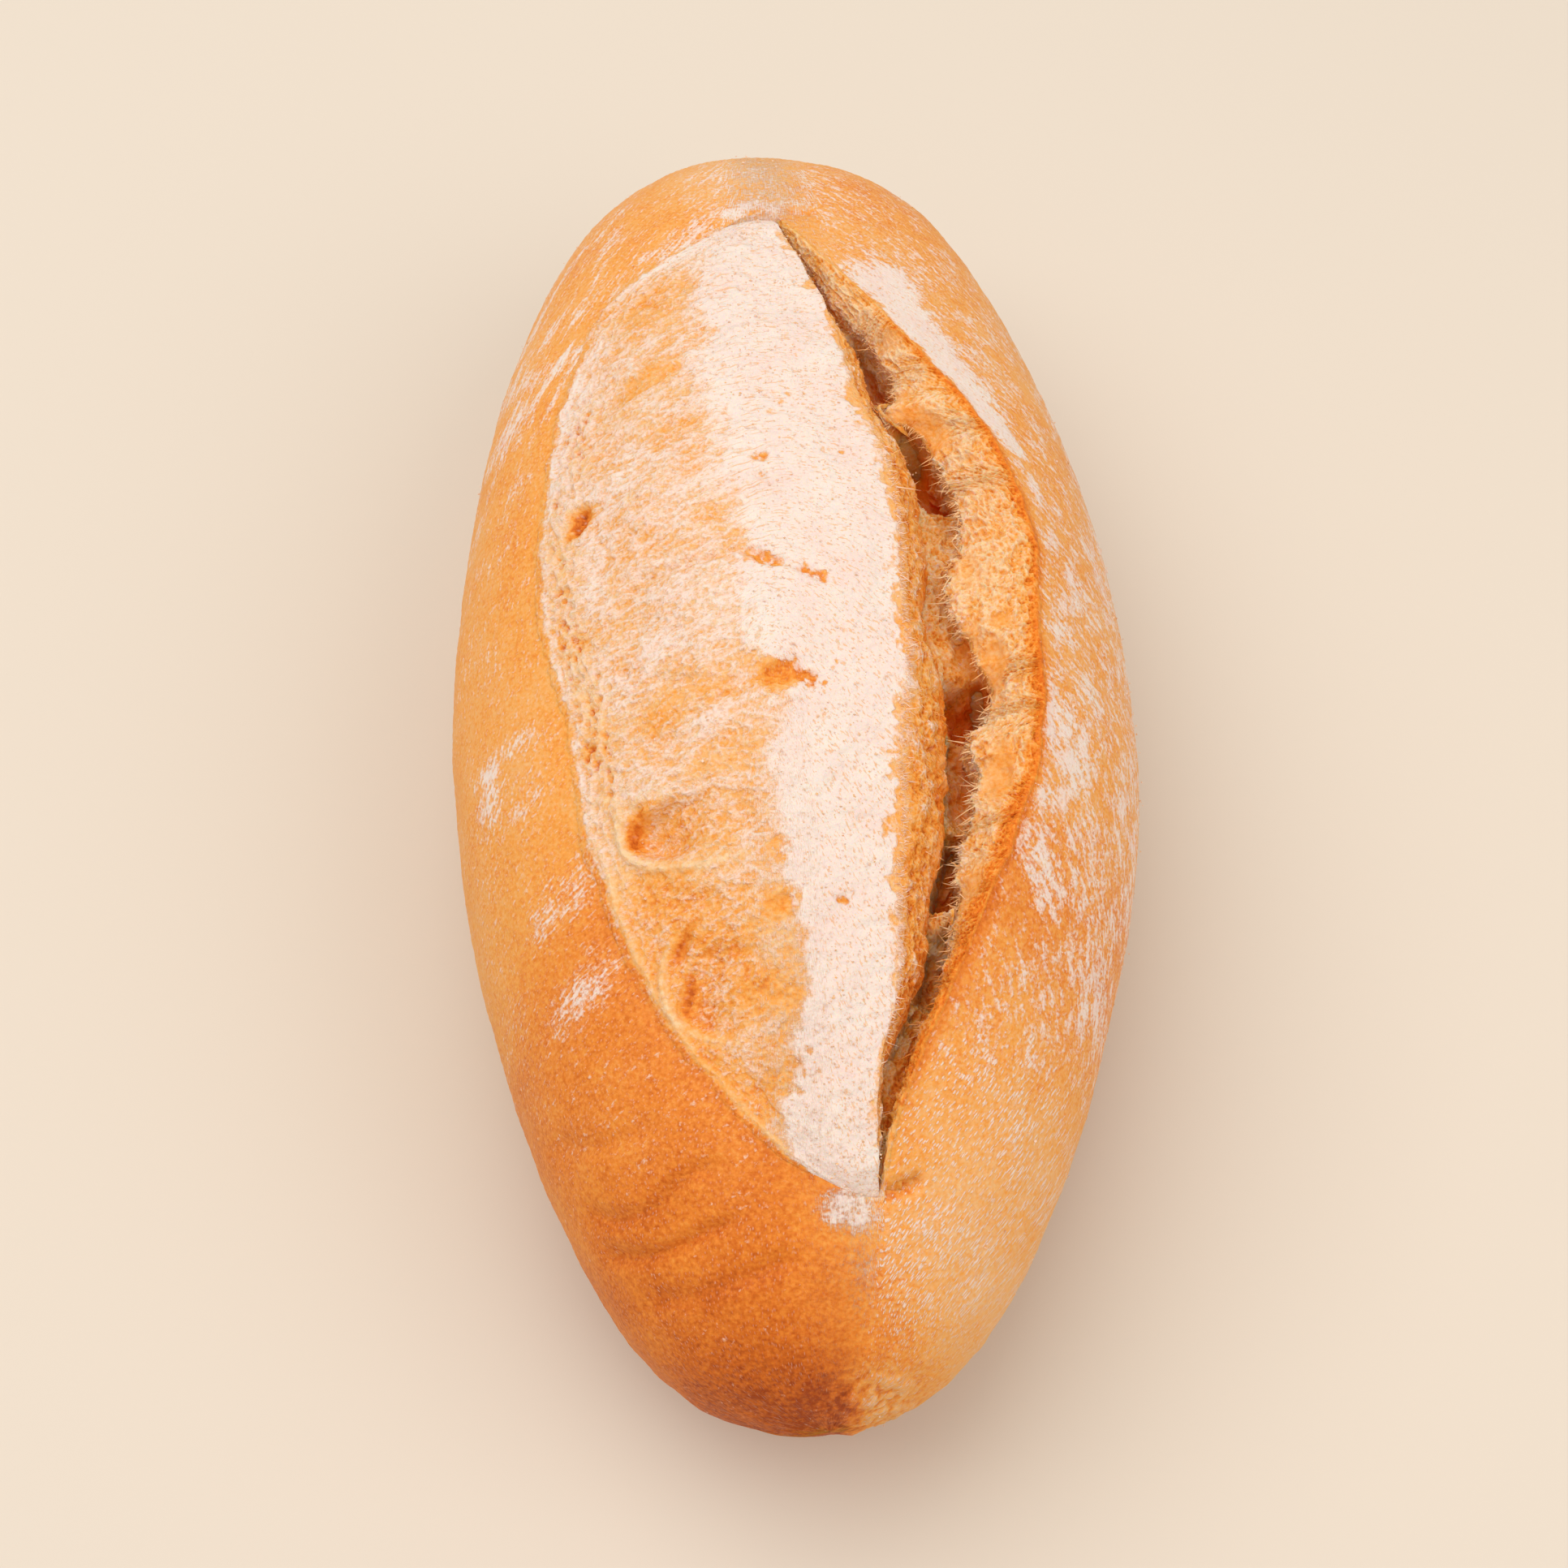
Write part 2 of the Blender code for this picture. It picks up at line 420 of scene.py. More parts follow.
def store_mesh(name, points, faces, attributes):
    """A mesh object from arrays in millimetres, with its faces turned outwards.

    Faces have three or four corners each. Attributes are one number or one vector a point.
    """
    if six_times_volume(points, np.concatenate([f[:, :3] for f in faces])) < 0:
        faces = [f[:, ::-1] for f in faces]
    corners = np.concatenate([f.ravel() for f in faces])
    sizes = np.concatenate([np.full(len(f), f.shape[1]) for f in faces])
    starts = np.concatenate([[0], np.cumsum(sizes)[:-1]])
    mesh = bpy.data.meshes.new(name)
    mesh.vertices.add(len(points))
    mesh.vertices.foreach_set("co", (points * MM).astype(np.float32).ravel())
    mesh.loops.add(len(corners))
    mesh.loops.foreach_set("vertex_index", corners.astype(np.int32))
    mesh.polygons.add(len(sizes))
    mesh.polygons.foreach_set("loop_start", starts.astype(np.int32))
    for label, values in attributes.items():
        kind, field = ("FLOAT", "value") if values.ndim == 1 else ("FLOAT_VECTOR", "vector")
        layer = mesh.attributes.new(label, kind, "POINT")
        layer.data.foreach_set(field, values.astype(np.float32).ravel())
    mesh.update(calc_edges=True)
    mesh.validate()
    mesh.shade_smooth()
    mesh.set_sharp_from_angle(angle=SHARP_ANGLE)
    print("%s: %d triangles" % (name, np.sum(sizes - 2)))
    return in_scene(name, mesh)


def closed_loft(name, grid, attributes):
    """A closed mesh from a grid of sections: quads between rows, and a fan to a pole at each end."""
    rows, columns = grid.shape[:2]
    number = np.arange(rows * columns).reshape(rows, columns)
    after = np.roll(number, -1, axis=1)
    quads = np.stack([number[:-1], number[1:], after[1:], after[:-1]], -1).reshape(-1, 4)
    poles = np.stack([grid[0].mean(axis=0), grid[-1].mean(axis=0)])
    first, last = rows * columns, rows * columns + 1
    near_fan = np.stack([number[0], after[0], np.full(columns, first)], -1)
    far_fan = np.stack([after[-1], number[-1], np.full(columns, last)], -1)
    points = np.concatenate([grid.reshape(-1, 3), poles])
    filled = {}
    for label, values in attributes.items():
        by_column = values.reshape(rows, columns, -1)
        ends = [by_column[0].mean(axis=0), by_column[-1].mean(axis=0)]
        joined = np.concatenate([by_column.reshape(rows * columns, -1), ends])
        filled[label] = joined if joined.shape[1] > 1 else joined[:, 0]
    return store_mesh(name, points, [quads, near_fan, far_fan], filled)


print("a band of four steps:", bands([np.zeros(1), np.ones(1)], [4])[0])


# %% [markdown]
# ## The crust
# The crust is the skin of the dough, dried and browned by the oven. It covers the roll
# except for the opening. I carry one closed section from end to end: up the right side,
# over the ear's thin edge, down into a hollow, up at the seam and down the left side. The
# hollow is later filled by the leaf and the crumb. Cutting the opening out with a Boolean
# would leave a ragged mesh along the very edges that matter most.

# %% Crust sections
CRUST_ROWS = 372
ROW_CROWDING = 0.18         # rows gather a little towards the rounded ends
HOLLOW_DEPTH = 20.0         # how deep the section drops between the two edges
EAR_EDGE, SEAM_EDGE = 0.5, 0.4          # radius of each rounded edge
LOW_FLANK = math.radians(-35)           # section angle of the lowest station on the right
# Columns between the section's stations: the middle of the base, the low right flank, five
# stations at the ear, five at the seam, the low left flank, and the middle of the base
CRUST_COLUMNS = (20, 80, 20, 8, 4, 3, 6, 3, 4, 8, 18, 62, 20)
AT_EAR, AT_SEAM = 4, 9      # which stations lie on the two edges themselves
EDGE_STEPS = (6.0, 0.9, 0.0)            # how far outside an edge its outer stations lie


def beyond_tips(y):
    """How far past a tip a section lies: 0 along the slash and 1 at the roll's two ends."""
    far = (y - FAR_TIP) / (HALF_LENGTH - FAR_TIP)
    near = (NEAR_TIP - y) / (NEAR_TIP + HALF_LENGTH)
    return np.clip(np.maximum(far, near), 0, 1)


def crust_angles(turn):
    """Section angle at each column of each row, and the column where each band starts."""
    y = HALF_LENGTH * np.cos(turn)
    held = on_slash(y)
    ear, seam = line_x(EAR, held), line_x(SEAM, held)
    gap = ear - seam
    lean = np.minimum(1.5, 0.3 * gap)
    step = np.minimum(0.12, 0.06 * gap)
    outwards = [*EDGE_STEPS, -step, -lean]
    xs = [ear + out for out in outwards] + [seam - out for out in reversed(outwards)]
    starts = np.concatenate([[0], np.cumsum(CRUST_COLUMNS)])
    fan = np.linspace(LOW_FLANK, math.pi - LOW_FLANK, starts[-2] - starts[1] + 1)
    away = beyond_tips(y)
    stations = [np.full(turn.shape, angle) for angle in (-0.5 * math.pi, LOW_FLANK)]
    for start, x in zip(starts[2:], xs):
        stations.append(angle_at(x, held) * (1 - away) + fan[start - starts[1]] * away)
    stations += [np.full(turn.shape, angle) for angle in (math.pi - LOW_FLANK, 1.5 * math.pi)]
    return bands(stations, CRUST_COLUMNS), starts


row_share = np.linspace(0, 1, CRUST_ROWS + 2)[1:-1]
row_turn = math.pi * (1 - row_share) - ROW_CROWDING * np.sin(2 * math.pi * row_share)
crust_angle, crust_starts = crust_angles(row_turn)
print("crust grid: %d rows of %d columns" % crust_angle.shape)

# %% [markdown]
# ## Relief of the crust
# Towards the slash the crust is pulled up on the right, into the ear, and down on the
# left, into the seam. Both edges are rounded by a quarter circle, and between them the
# section drops into the hollow that the inner pieces fill.

# %% Crust relief
EAR_RISE, SEAM_DROP = 1.6, -1.0         # height of the two edges against the plain loaf
EAR_LIP = 0.5                           # extra height of the thin ear itself
EAR_FADE = 5.0                          # how far from the edge the lip dies out
INNER_DEPTHS = (0.0, 2.5, HOLLOW_DEPTH, HOLLOW_DEPTH * 0.8, 2.0, 0.0)     # from the ear to the seam


def round_off(distance, radius):
    """How far a quarter-circle edge lies below the plain surface, at a distance from the edge."""
    inside = np.clip(radius - distance, 0, radius)
    return radius - np.sqrt(np.maximum(radius ** 2 - inside ** 2, 0))


def ear_side(x, y):
    """Lift of the crust on the right of the slash: it rises to the ear, and most at its edge."""
    ear = line_x(EAR, y)
    way = np.clip(angle_at(x, y) / angle_at(ear, y), 0, 1)
    lip = EAR_LIP * (1 + 0.25 * line_noise(y, 6.0, 11)) * np.exp(-np.abs(x - ear) / EAR_FADE)
    return opening(y) * (EAR_RISE * way ** 3 + lip)


def seam_side(x, y):
    """Lift of the crust on the left of the slash: it is pulled down to the seam."""
    way = np.clip((math.pi - angle_at(x, y)) / (math.pi - angle_at(line_x(SEAM, y), y)), 0, 1)
    return SEAM_DROP * opening(y) * way ** 3


def crust_grid():
    """Points of the crust, its distances from the ear and the seam, and which columns are skin."""
    x, y, z = body_points(row_turn[:, None], crust_angle)
    held = on_slash(y)
    opened = opening(y)
    tips = smooth(0, 1, 1 - beyond_tips(y) * 3)
    flank = smooth(-0.1, 0.5, np.sin(crust_angle))
    from_ear = x - line_x(EAR, held)
    from_seam = line_x(SEAM, held) - x
    right_lift = (ear_side(x, held) - round_off(from_ear, EAR_EDGE) * tips * opened) * flank
    left_lift = (seam_side(x, held) - round_off(from_seam, SEAM_EDGE) * tips * opened) * flank
    column = np.arange(crust_angle.shape[1])
    first, last = crust_starts[AT_EAR], crust_starts[AT_SEAM]
    right, left = column < first, column >= last
    counts = CRUST_COLUMNS[AT_EAR:AT_SEAM]
    sunken, way = np.zeros(x.shape), np.zeros(x.shape)
    sunken[:, first:last] = bands([np.full(x.shape[0], depth) for depth in INNER_DEPTHS], counts)
    way[:, first:last] = np.linspace(0, 1, sum(counts))
    ends = right_lift[:, first - 1, None] * (1 - way) + left_lift[:, last, None] * way
    lift = np.where(right, right_lift, np.where(left, left_lift, ends - sunken * opened))
    return np.stack([x, y, z + lift], -1), from_ear, from_seam, right | left


crust_points, from_ear, from_seam, skin = crust_grid()
print("the crust rises to %.2f mm" % crust_points[..., 2].max())

# %% [markdown]
# ### Folds, wrinkles and the torn tip
# The near end wrinkled as it set, and at its very tip the skin tore on the tray. Folds are
# ribbons along curves, wrinkles are noise at several sizes, and a faint pebbling keeps
# highlights from sliding over the skin in one piece. I leave the edges of the slash calm.

# %% Fine crust relief
# Each fold: points, half width, depth
NEAR_FOLDS = (
    (((-22.6, -61.6), (-19.6, -63.2), (-16.4, -64.0), (-12.5, -63.4), (-8.0, -62.4)), 0.6, -0.60),
    (((-24.0, -57.0), (-21.2, -59.6), (-17.6, -60.2), (-13.6, -58.2), (-9.0, -57.6)), 0.7, -0.45),
    (((-19.0, -66.5), (-14.0, -68.0), (-8.0, -67.4), (-3.0, -66.0)), 0.8, -0.35),
    (((-27.0, -50.0), (-24.0, -52.5), (-20.0, -53.5), (-15.0, -52.6)), 0.9, -0.30),
    (((3.6, -61.4), (5.6, -61.0), (7.4, -60.5), (9.2, -59.7)), 0.5, -1.0),
    (((2.3, 56.3), (3.9, 55.6), (6.0, 55.9)), 0.5, -0.5),
)
FOLD_GAIN = 1.4
TORN_SPOT, TORN_HALF, TORN_TURN = (3.6, -76.6), (4.6, 1.9), 12


def creases(x, y, folds):
    """Grooves along curves: each is a ribbon of its own half width and depth."""
    total = np.zeros(x.shape)
    for points, half, depth in folds:
        total += ribbon(x, y, points, half, depth, 6, 6)
    return total


def round_the_section(angle):
    """Distance round the section from the top, so that steep sides aren't squeezed."""
    return HALF_WIDTH * (0.5 * math.pi - angle)


x, y, z = np.moveaxis(crust_points, -1, 0)
swell = 0.30 * noise(crust_points, 19.0, 21) + 0.13 * noise(crust_points, 7.0, 22)
wrinkles = 0.05 * noise(crust_points, 2.6, 23) + 0.025 * noise(crust_points, 1.1, 24)
wrinkles += 0.10 * smooth(-48, -70, y) * noise(crust_points * (1, 2.2, 1), 4.0, 25)
relief = swell + wrinkles + FOLD_GAIN * creases(x, y, NEAR_FOLDS) * smooth(12, 26, z)
pebbled, _ = bubbles(np.stack([round_the_section(crust_angle), y], -1), (0.9, 1.2), 26)
relief += 0.07 * smooth(0.7, 0.1, pebbled)
torn_spot = bell(oval(x, y, TORN_SPOT, TORN_HALF, TORN_TURN), 1)
rough = 0.5 * np.abs(noise(crust_points, (2.4, 1.6, 2.0), 27))
rough = rough + 0.3 * np.abs(noise(crust_points, 1.0, 28))
relief += torn_spot * (rough - 0.65)
outer = skin | (opening(y) <= 0)
edge_calm = smooth(0, 2.5, np.minimum(np.abs(from_ear), np.abs(from_seam)))
relief *= np.where(outer, 0.35 + 0.65 * np.where(opening(y) > 0, edge_calm, 1.0), 0.0)
crust_points += normals_of(crust_points) * relief[..., None]
crust_points[..., 2] = np.maximum(crust_points[..., 2], 0.0)
crust_points[..., 1] = np.clip(crust_points[..., 1], -HALF_LENGTH, HALF_LENGTH)
print("crust relief from %.2f to %.2f mm" % (relief.min(), relief.max()))

# %% [markdown]
# ## Bake and flour, painted by place
# Two numbers at every point drive the finish. The bake runs from 0, pale dough, to 1,
# nearly burnt; painted shade is added to it too. The flour is the share of the surface that
# dust covers. Both follow the roll: the near end is darkest, partly from a harder bake and
# partly as painted shade, and the dust was wiped into streaks when the dough was rolled.
# Folds, the low part of the near end and the hidden hollow get painted shade. The material
# later breaks these smooth maps up into flecks.

# %% Bake and flour of the crust
# Each spot: X, Y, half length, half width, degrees, amount
BAKE_AND_SHADE_SPOTS = (
    (-18, -66, 14, 9, 10, 0.10), (-4, -72, 14, 6, 0, 0.10), (-9, -58, 10, 6, -30, 0.04),
    (-24, -44, 9, 14, 0, 0.10), (12, -66, 8, 8, 0, -0.14), (20, -50, 12, 12, 0, -0.10),
    (16, 62, 12, 8, 0, 0.07), (-3, 66, 9, 9, 0, -0.14), (0, -50, 6, 8, 0, -0.04),
    # The second spot on the next line is a painted shadow beneath the fold at the near tip; the spots
    # darkening the near end are partly bake and partly painted shade.
    (-1.2, -77.2, 3.2, 1.8, 0, 0.18), (5.6, -61.1, 2.4, 0.5, 14, 0.22),
)
TIP_PIT = ((0.4, -77.2, 0.7, 1.2, -20, 0.14),)
FLOUR_SPOTS = (
    (-30.6, -11.4, 3.4, 1.3, 15, 0.55), (-32.2, -15.5, 1.5, 3.4, 0, 0.60),
    (-28.3, -18.4, 2.8, 1.3, 25, 0.35), (-26.5, -12.0, 2.4, 2.0, 0, 0.28),
    (-24.5, -29.5, 4.6, 2.4, 35, 0.50), (-22.6, -39.2, 4.2, 2.6, 40, 0.50),
    (-28.0, 37.5, 2.2, 4.5, -20, 0.35), (-23.5, 38.5, 3.2, 1.5, 40, 0.35),
    (-28.5, 31.5, 1.8, 3.4, -10, 0.30), (-30.5, -38.5, 2.0, 3.5, 0, 0.20),
    (26.2, -14.8, 2.8, 5.0, 15, 0.52), (22.4, -30.2, 2.0, 4.2, 20, 0.52),
    (30.7, 3.8, 1.5, 4.2, 15, 0.35), (27.8, -39.0, 2.0, 4.6, -15, 0.35),
    (30.3, -9.5, 1.6, 3.6, 10, 0.30), (2.4, -62.6, 3.4, 1.7, 10, 1.15),
    (9.0, -66.5, 8.0, 5.0, 20, 0.54), (0.6, -61.8, 2.6, 1.2, 10, 0.50),
    (0.0, 63.5, 9.0, 8.0, 0, 0.38), (-9.0, 52.4, 8.0, 2.4, 30, 0.42),
    (-2.6, 55.8, 7.0, 2.8, 8, 0.36), (13.0, 56.0, 12.0, 9.0, -40, 0.14),
    (26.0, -14.0, 7.0, 28.0, 6, 0.14), (26.5, -22.0, 3.0, 4.0, 10, 0.16),
    (29.0, -30.0, 2.6, 4.0, 10, 0.16), (28.5, -2.0, 2.2, 3.2, 10, 0.18),
    (24.5, -22.5, 1.6, 3.0, 15, 0.20), (-20.0, -50.0, 8.0, 3.0, 30, 0.06),
    (6.0, 50.0, 3.0, 4.5, -40, 0.14), (14.0, -52.0, 12.0, 8.0, 60, 0.30),
    (26.9, 14.6, 0.9, 2.4, 25, 0.5), (29.3, 13.6, 0.9, 2.2, 25, 0.5),
    (32.3, 13.2, 0.9, 2.2, 25, 0.45),
)
FLOUR_STREAK = (
    (12.0, 43.0), (13.4, 40.4), (15.2, 36.6), (17.6, 32.4), (20.2, 27.8), (22.4, 23.8), (24.8, 20.8))
# The near end's extra is partly a harder bake and partly painted shade.
EVEN_BAKE, NEAR_END_BAKE_AND_SHADE = 0.44, 0.16   # of the whole crust, and extra at the near end
THIN_DUST = 0.20
SWEEP_TURN = 62             # degrees: the way in which the far left flank was brushed
MOST_FLOUR = 1.25           # over 1: a coat so thick that few flecks of crust show


def ridge_red(from_ear, y, place):
    """Extra bake on the ear: a soft, patchy band that is reddest along its middle part."""
    reddest = smooth(42, 26, y) * smooth(-60, -52, y)
    lower = smooth(-12, -30, y)
    band = bell(from_ear + 0.2 + 0.3 * lower, 0.7 + 0.5 * lower)
    band = band * (1.0 + 0.20 * noise(place, 3.2, 33))
    return (0.08 + 0.25 * reddest) * np.clip(band, 0, 1.3) * smooth(0.2, 0.6, opening(y))


def crust_bake_and_shade(x, y, z, from_ear, from_seam):
    """Bake of the crust with painted shade: an even gold, darker at the near end partly as painted shade,
    on spots and at the ear's edge, and painted shade in the folds and low on the near end.
    """
    place = np.stack([x, y, z], -1)
    bake_and_shade = EVEN_BAKE + NEAR_END_BAKE_AND_SHADE * smooth(-22, -66, y) * smooth(16, -6, x) + blots(x, y, BAKE_AND_SHADE_SPOTS)
    bake_and_shade += 0.04 * noise(place, 12.0, 31) + 0.02 * noise(place, 5.0, 32)
    bake_and_shade += ridge_red(from_ear, y, place) + 0.25 * smooth(-70, -77, y) * smooth(6, -4, x)
    # The low part of the near end is painted darker, as painted shade.
    bake_and_shade += 0.10 * smooth(20, 8, z) * smooth(-20, -70, y)
    # Fold grooves are painted darker, as painted shade.
    bake_and_shade -= 0.15 * np.clip(creases(x, y, NEAR_FOLDS), -0.5, 0)
    bake_and_shade += 0.13 * np.exp(-np.clip(from_seam, 0, 99) / 3.0) * smooth(-20, -30, y) * smooth(-58, -46, y)
    bake_and_shade -= 0.10 * smooth(12, 2, z)
    return bake_and_shade


def crust_flour(x, y, z):
    """Share of the crust under flour: a thin dust, the streak on the right and the patches."""
    place = np.stack([x, y, z], -1)
    from_ear = x - line_x(EAR, on_slash(y))
    wiped = 1 - 0.85 * bell(from_ear + 0.3, 0.8) * smooth(0.3, 0.7, opening(y))
    dust = THIN_DUST + 0.18 * smooth(8, 26, x) * smooth(62, 34, y) + 0.10 * smooth(20, 60, y)
    dust += 0.06 * smooth(-24, -29, x) * smooth(-50, -20, y) + 0.08 * noise(place, 6.0, 36)
    near_left = smooth(-50, -66, y) * smooth(8, -4, x)
    dust += 0.16 * smooth(6, 20, x) * noise(place, 2.4, 34) - 0.10 * near_left
    gap, share = from_curve(x, y, FLOUR_STREAK, 1.0)
    width = 3.7 - 2.3 * share + 0.9 * noise(place, 2.6, 37)
    streak = (1.02 + 0.45 * noise(place, 2.0, 38)) * bell(gap, width)
    rim = 0.12 * smooth(31.5, 35.0, x) * smooth(55, 30, np.abs(y)) * smooth(12, 20, z)
    along, over = turned(x, y, SWEEP_TURN)
    swept = smooth(0.05, 0.5, noise(np.stack([along / 9, over / 1.3], -1), 1.0, 40))
    rim += 0.26 * swept * smooth(-12, -20, x) * smooth(14, 26, y)
    torn = 0.62 + 0.45 * noise(place, 2.0, 39)
    patches = streak + blots(x, y, FLOUR_SPOTS) * torn
    return (dust + (1 - dust) * patches * smooth(14, 24, z)) * wiped + rim


bake_and_shade = crust_bake_and_shade(x, y, z, from_ear, from_seam)
flour = np.clip(crust_flour(x, y, z), 0, MOST_FLOUR)
# Inside the hidden hollow the crust is painted darker where the slash is open, as painted shade.
bake_and_shade = np.where(outer, bake_and_shade, 0.25 + 0.40 * smooth(0.1, 0.4, opening(y)))
flour = np.where(outer, flour, 0.55 * smooth(0.4, 0.1, opening(y)))
# On the torn spot the low places are painted darker, as painted shade, and the rest paler as torn crumb.
bake_and_shade += torn_spot * (0.34 * smooth(0.22, 0.05, rough) - 0.26)
bake_and_shade += blots(x, y, TIP_PIT)
flour = flour + 0.26 * torn_spot * smooth(0.1, 0.35, rough)
print("bake %.2f to %.2f, flour up to %.2f" % (bake_and_shade.min(), bake_and_shade.max(), flour.max()))

# %% [markdown]
# ## Which way the flecks run
# Rolling and proving stretched the floured skin, so its flecks are long and thin. I give
# every point a grain vector: its place measured along and across the local direction of
# stretch. A noise that reads this vector is drawn out along the grain.

# %% Grain of the crust
LEFT_GRAIN = ((-75, 12.0), (-55, 20.0), (-38, 35.0), (-22, 58.0), (0, 80.0), (30, 70.0), (60, 55.0))
RIGHT_GRAIN = ((-70, -60.0), (-45, -36.0), (-10, -24.0), (20, -26.0), (60, -36.0))


def grain_of(x, y, height, degrees):
    """Place along the stretch, across it, and upwards, for a direction at each point."""
    radians = np.radians(degrees)
    along = np.cos(radians) * x + np.sin(radians) * y
    across = np.cos(radians) * y - np.sin(radians) * x
    return np.stack([along, across, height], -1)


def crust_grain(y, angle):
    """Grain of the crust, with X measured round the section."""
    round_x = round_the_section(angle)
    left = np.interp(y, *zip(*LEFT_GRAIN))
    right = np.interp(y, *zip(*RIGHT_GRAIN)) + 180
    side = smooth(-6, 10, round_x)
    return grain_of(round_x, y, 0 * y, left * (1 - side) + right * side)


grain = crust_grain(y, crust_angle)
even = smooth(-42, -56, y) * smooth(-2, 6, x)
# Painted shade: the hidden hollow between the edges is painted deep red-brown where the slash is open; on
# the outer skin this number carries the ear's own red.
shade_and_ear_red = np.where(outer, 0.65 * ridge_red(from_ear, y, crust_points), smooth(0.1, 0.4, opening(y)))
crust = closed_loft("crust", crust_points, {
    "bake_and_shade": bake_and_shade, "flour": flour, "grain": grain, "even": even, "shade_and_ear_red": shade_and_ear_red})

# %% [markdown]
# ## The leaf of bloom
# Bloom is dough that swelled out of the slash late in the bake. Its skin never met the
# peel or the baker's hands, so it stays pale, and the flour on it was lifted whole. From
# the seam it rises to a crest, runs nearly level to its rim, and rolls over into the
# crack. The section below is laid out by stations along X, and closed underneath.

# %% Leaf sections
LEAF_ROWS = 486
LEAF_COLUMNS = (9, 146, 34, 6, 4)       # the hem, the top, the roll-over and two bands beneath
SEAM_LEVEL, CREST_LEVEL, RIM_LEVEL, LIP_LEVEL = -1.0, 1.3, 0.6, -5.0
CREST_SHARE = 0.55          # where the crest lies, from the seam (0) to the rim (1)
TIP_RUN = 2.0               # how far the inner pieces run on beneath the crust at each tip
OVERLAP = 1.7               # how far their hems run on over the edges of the crust
HEM_LIFT, HEM_SINK = 0.12, 0.65         # the leaf's hem lies on the crust, then dives into it
HEM_END = 0.05              # how far past the seam the hem gives way to the top


def inner_rows(count):
    """Y of each section of an inner piece, from just past one tip to just past the other."""
    return np.linspace(NEAR_TIP - TIP_RUN, FAR_TIP + TIP_RUN, count)


def sink_at_tips(y):
    """How far an inner piece dives at the tips, so that it ends beneath the crust."""
    over = np.maximum(NEAR_TIP + 1.2 - y, y - FAR_TIP + 1.2)
    return 0.25 * np.clip(over + 1.5, 0, 9) ** 1.6


leaf_stations = inner_rows(LEAF_ROWS)
seam_x, rim_x, lip_x = (line_x(line, leaf_stations) for line in (SEAM, RIM, LIP))
opened = opening(leaf_stations)
rim_wave = 0.35 * line_noise(leaf_stations, 9.0, 41) + 0.18 * line_noise(leaf_stations, 2.3, 42)
rim_x = rim_x + opened * rim_wave
lip_wave = 0.4 * line_noise(leaf_stations, 7.0, 43) + 0.40 * line_noise(leaf_stations, 2.2, 44)
lip_wave = lip_wave + 0.25 * line_noise(leaf_stations, 0.9, 45)
lip_x = np.maximum(lip_x + opened * lip_wave, rim_x + 0.15)
print("leaf %.1f mm wide at its widest" % (rim_x - seam_x).max())

# %% [markdown]
# ## Features of the leaf
# The leaf isn't smooth. An oval blister sank and left a rim of taut skin round its left
# end, and a second fold lies below it. A crease crosses the middle above a low dome, a
# band of small pores follows the seam, and a few bubbles burst. Each feature is a small
# function of the place, so it can be moved or deepened by one number.

# %% Features of the leaf
BLISTER, BLISTER_HALF, BLISTER_TURN = (-10.3, -26.1), (7.6, 3.3), 2
BLISTER_RIM = (
    (-19.8, -20.4), (-18.4, -22.8), (-18.6, -25.4), (-17.6, -27.8),
    (-15.2, -29.4), (-11.6, -30.2), (-7.4, -30.4), (-3.4, -30.4))
BLISTER_TOP = ((-18.2, -24.4), (-16.2, -22.5), (-12.6, -21.9), (-8.0, -21.6))
FOLD, FOLD_HALF, FOLD_TURN = (-8.4, -42.4), (5.6, 4.6), 35
FOLD_RIM = (
    (-12.2, -35.4), (-14.4, -37.8), (-14.9, -40.4), (-14.5, -42.6),
    (-13.3, -44.6), (-11.4, -46.2), (-8.6, -47.2), (-5.4, -47.7))
LOW_DOME, LOW_DOME_HALF, LOW_DOME_RISE = (-8.3, -2.9), (6.2, 4.0), 0.55
# Each fold: points, half width, depth
LEAF_FOLDS = (
    (((-19.6, 2.9), (-14.7, 1.9), (-9.7, 2.1), (-5.4, 2.6), (-2.6, 1.6), (1.2, -0.4)), 0.55, -0.55),
    (((-18.0, 15.5), (-12.5, 16.9), (-6.0, 16.2), (-1.0, 17.0)), 0.9, -0.26),
    (((-21.0, 26.5), (-15.0, 28.6), (-8.0, 29.4)), 1.0, -0.30),
    (((-14.5, 40.4), (-9.5, 42.6), (-4.0, 42.2)), 0.9, -0.24),
    (((-15.5, -9.2), (-11.0, -11.8), (-5.0, -12.2), (-1.0, -10.8)), 0.9, -0.34),
    (((-17.5, -16.2), (-11.0, -17.9), (-4.5, -18.2)), 1.0, -0.28),
    (((-12.6, -33.2), (-8.0, -34.0), (-3.4, -33.6)), 0.9, -0.22),
    (((-7.6, -51.4), (-4.0, -52.3), (0.4, -51.5)), 0.9, -0.2),
)
